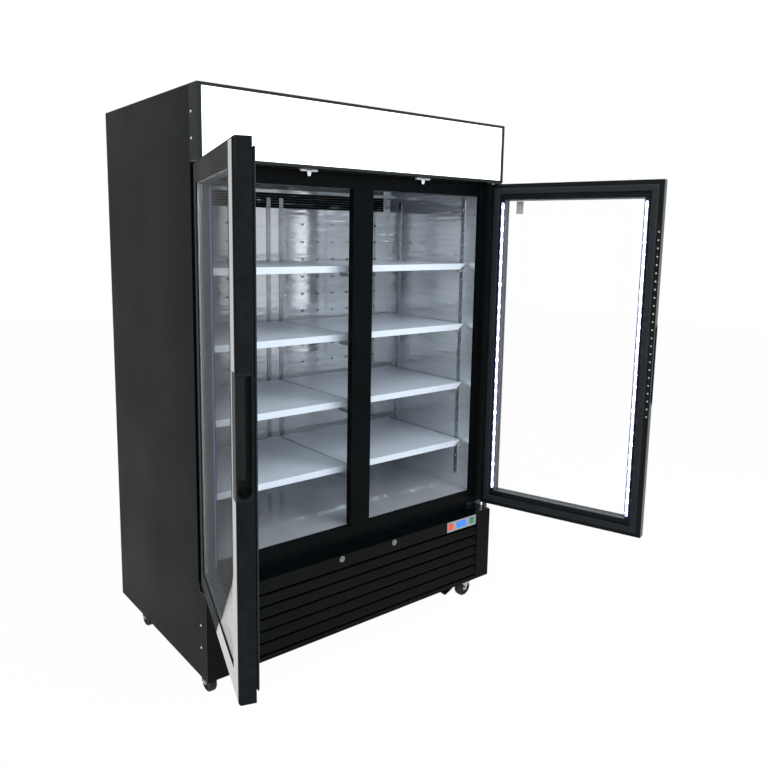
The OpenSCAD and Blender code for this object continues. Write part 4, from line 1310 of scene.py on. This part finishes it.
    def dome(
        self, radius: float, rise: float, steps: int, name: str, length: float = 1.0
    ) -> bpy.types.Object:
        """Make a low closed dome that faces +Y.

        Args:
            radius: Its radius in X.
            rise: Its height.
            steps: The number of its sides.
            name: The object's name.
            length: How many times as long as wide it is.

        Returns:
            The object that is copied.
        """
        shape = bmesh.new()
        rings = []
        for part in DOME_RINGS:
            height = rise * math.sqrt(1 - part * part)
            corners = polygon(steps, radius * part)
            rings.append([shape.verts.new((x, height, length * z)) for x, z in corners])
        join_rings(shape, rings)
        shape.faces.new(rings[0])
        shape.faces.new(rings[-1])
        face_out(shape)
        return mesh_object(name, shape)


# ---------------------------------------------------------------- casters


@dataclass
class Caster:
    """One swivel caster: a fork, a wheel and a brake pedal."""

    bench: Bench
    name: str

    def build(self) -> None:
        """Dress the caster's three pieces."""
        bench = self.bench
        bench.rounded(f"{self.name}_fork", ZINC_PLATE, 0.5)
        bench.rounded(f"{self.name}_wheel", TYRE, 1.2, 3)
        bench.rounded(f"{self.name}_pedal", CHROME, 0.8, 3)


# ---------------------------------------------------------------- studio


@dataclass
class Studio:
    """The floor, the soft lamps, the white surroundings and the camera."""

    eye: Point = (-1.70778, -2.20261, 1.60498)
    yaw: float = 0.6584
    pitch: float = -0.1441
    roll: float = 0.0117
    lens: float = 34.44
    shift_x: float = 0.0352
    shift_y: float = -0.0539
    dim: float = 0.55
    floor_size: float = 12.0
    floor_z: float = -0.0005
    floor_white: float = 0.975

    def build(self) -> None:
        """Set up the whole studio."""
        scene = bpy.context.scene
        scene.view_settings.view_transform = "Standard"
        self.camera(scene)
        self.world(scene)
        self.floor()
        self.lamp("key", (-2.6, -3.2, 3.2), (0.0, -0.2, 1.0), 2.4, 80.0)
        self.lamp("fill", (1.4, -3.6, 1.7), (0.0, 0.3, 0.9), 2.2, 58.0, mirrored=False)
        self.lamp("slant", (0.5, -2.0, 2.6), (0.2, 0.4, 0.5), 1.8, 48.0, mirrored=False)
        self.lamp("top", (0.0, -0.6, 4.2), (0.0, 0.1, 1.0), 2.6, 40.0)

    def camera(self, scene: bpy.types.Scene) -> None:
        """Set the camera where the photograph was taken from.

        Args:
            scene: The scene that takes it.
        """
        forward = Vector(
            (
                math.sin(self.yaw) * math.cos(self.pitch),
                math.cos(self.yaw) * math.cos(self.pitch),
                math.sin(self.pitch),
            )
        )
        level = Vector((math.cos(self.yaw), -math.sin(self.yaw), 0))
        above = level.cross(forward)
        right = level * math.cos(self.roll) + above * math.sin(self.roll)
        up = above * math.cos(self.roll) - level * math.sin(self.roll)
        data = bpy.data.cameras.new("camera")
        data.lens = self.lens
        data.sensor_width = 36.0
        data.shift_x = self.shift_x
        data.shift_y = self.shift_y
        data.clip_start = 0.05
        made = add_object("camera", data)
        turn = Matrix((right, up, -forward)).transposed().to_4x4()
        made.matrix_world = Matrix.Translation(self.eye) @ turn
        scene.camera = made

    def world(self, scene: bpy.types.Scene) -> None:
        """Make surroundings that look white and light the object gently.

        Args:
            scene: The scene that takes them.
        """
        world = bpy.data.worlds.new("surroundings")
        tree = clear_tree(world)
        white = (1.0, 1.0, 1.0, 1.0)
        dim = add_node(tree, "ShaderNodeBackground", {"Color": white, "Strength": self.dim})
        bright = add_node(tree, "ShaderNodeBackground", {"Color": white, "Strength": 1.0})
        ways = {0: seen_straight(tree), 1: dim.outputs[0], 2: bright.outputs[0]}
        either = add_node(tree, "ShaderNodeMixShader", ways)
        add_node(tree, "ShaderNodeOutputWorld", {"Surface": either.outputs[0]})
        scene.world = world

    def floor(self) -> None:
        """Lay a pale floor that stays white where no shadow falls."""
        shape = bmesh.new()
        bmesh.ops.create_grid(shape, x_segments=1, y_segments=1, size=self.floor_size)
        made = mesh_object("floor", shape)
        made.location = (0, 0, self.floor_z)
        paint = bpy.data.materials.new("pale_floor")
        tree = clear_tree(paint)
        matt = add_node(tree, "ShaderNodeBsdfDiffuse", {"Color": linear("#f4f4f4")})
        lit = add_node(tree, "ShaderNodeEmission", {"Color": (1.0, 1.0, 1.0, 1.0), "Strength": 1.0})
        shown = {0: seen_straight(tree), 1: self.floor_white}
        share = add_node(tree, "ShaderNodeMath", shown, operation="MULTIPLY")
        ways = {0: share.outputs[0], 1: matt.outputs[0], 2: lit.outputs[0]}
        either = add_node(tree, "ShaderNodeMixShader", ways)
        add_node(tree, "ShaderNodeOutputMaterial", {"Surface": either.outputs[0]})
        made.data.materials.append(paint)

    def lamp(
        self,
        name: str,
        place: Point,
        aim: Point,
        size: float,
        power: float,
        mirrored: bool = True,
    ) -> None:
        """Hang one soft square lamp.

        Args:
            name: Its name.
            place: Where it hangs.
            aim: What it points at.
            size: The length of its sides.
            power: Its power in watts.
            mirrored: Whether shiny surfaces mirror it.
        """
        data = bpy.data.lights.new(name, "AREA")
        data.shape = "SQUARE"
        data.size = size
        data.energy = power
        made = add_object(name, data)
        made.location = place
        made.rotation_euler = (Vector(aim) - Vector(place)).to_track_quat("-Z", "Y").to_euler()
        made.visible_glossy = mirrored


def main() -> None:
    """Build the whole object in order."""
    logging.basicConfig(level=logging.INFO, format="%(name)s %(message)s")
    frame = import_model()
    bench = Bench(frame)
    Studio().build()
    builders: list[Any] = [
        Cabinet(bench),
        Interior(bench),
        Base(bench),
        MachineBay(bench),
        Door(bench, -1, "left"),
        Door(bench, 1, "right"),
    ]
    builders += [Caster(bench, n) for n in ("front_left", "front_right", "rear_left", "rear_right")]
    for builder in builders:
        builder.build()
        log.info("%s done", type(builder).__name__)
    bench.rounded("caster_plates", ZINC_PLATE, 0.6)


if __name__ == "__main__":
    main()
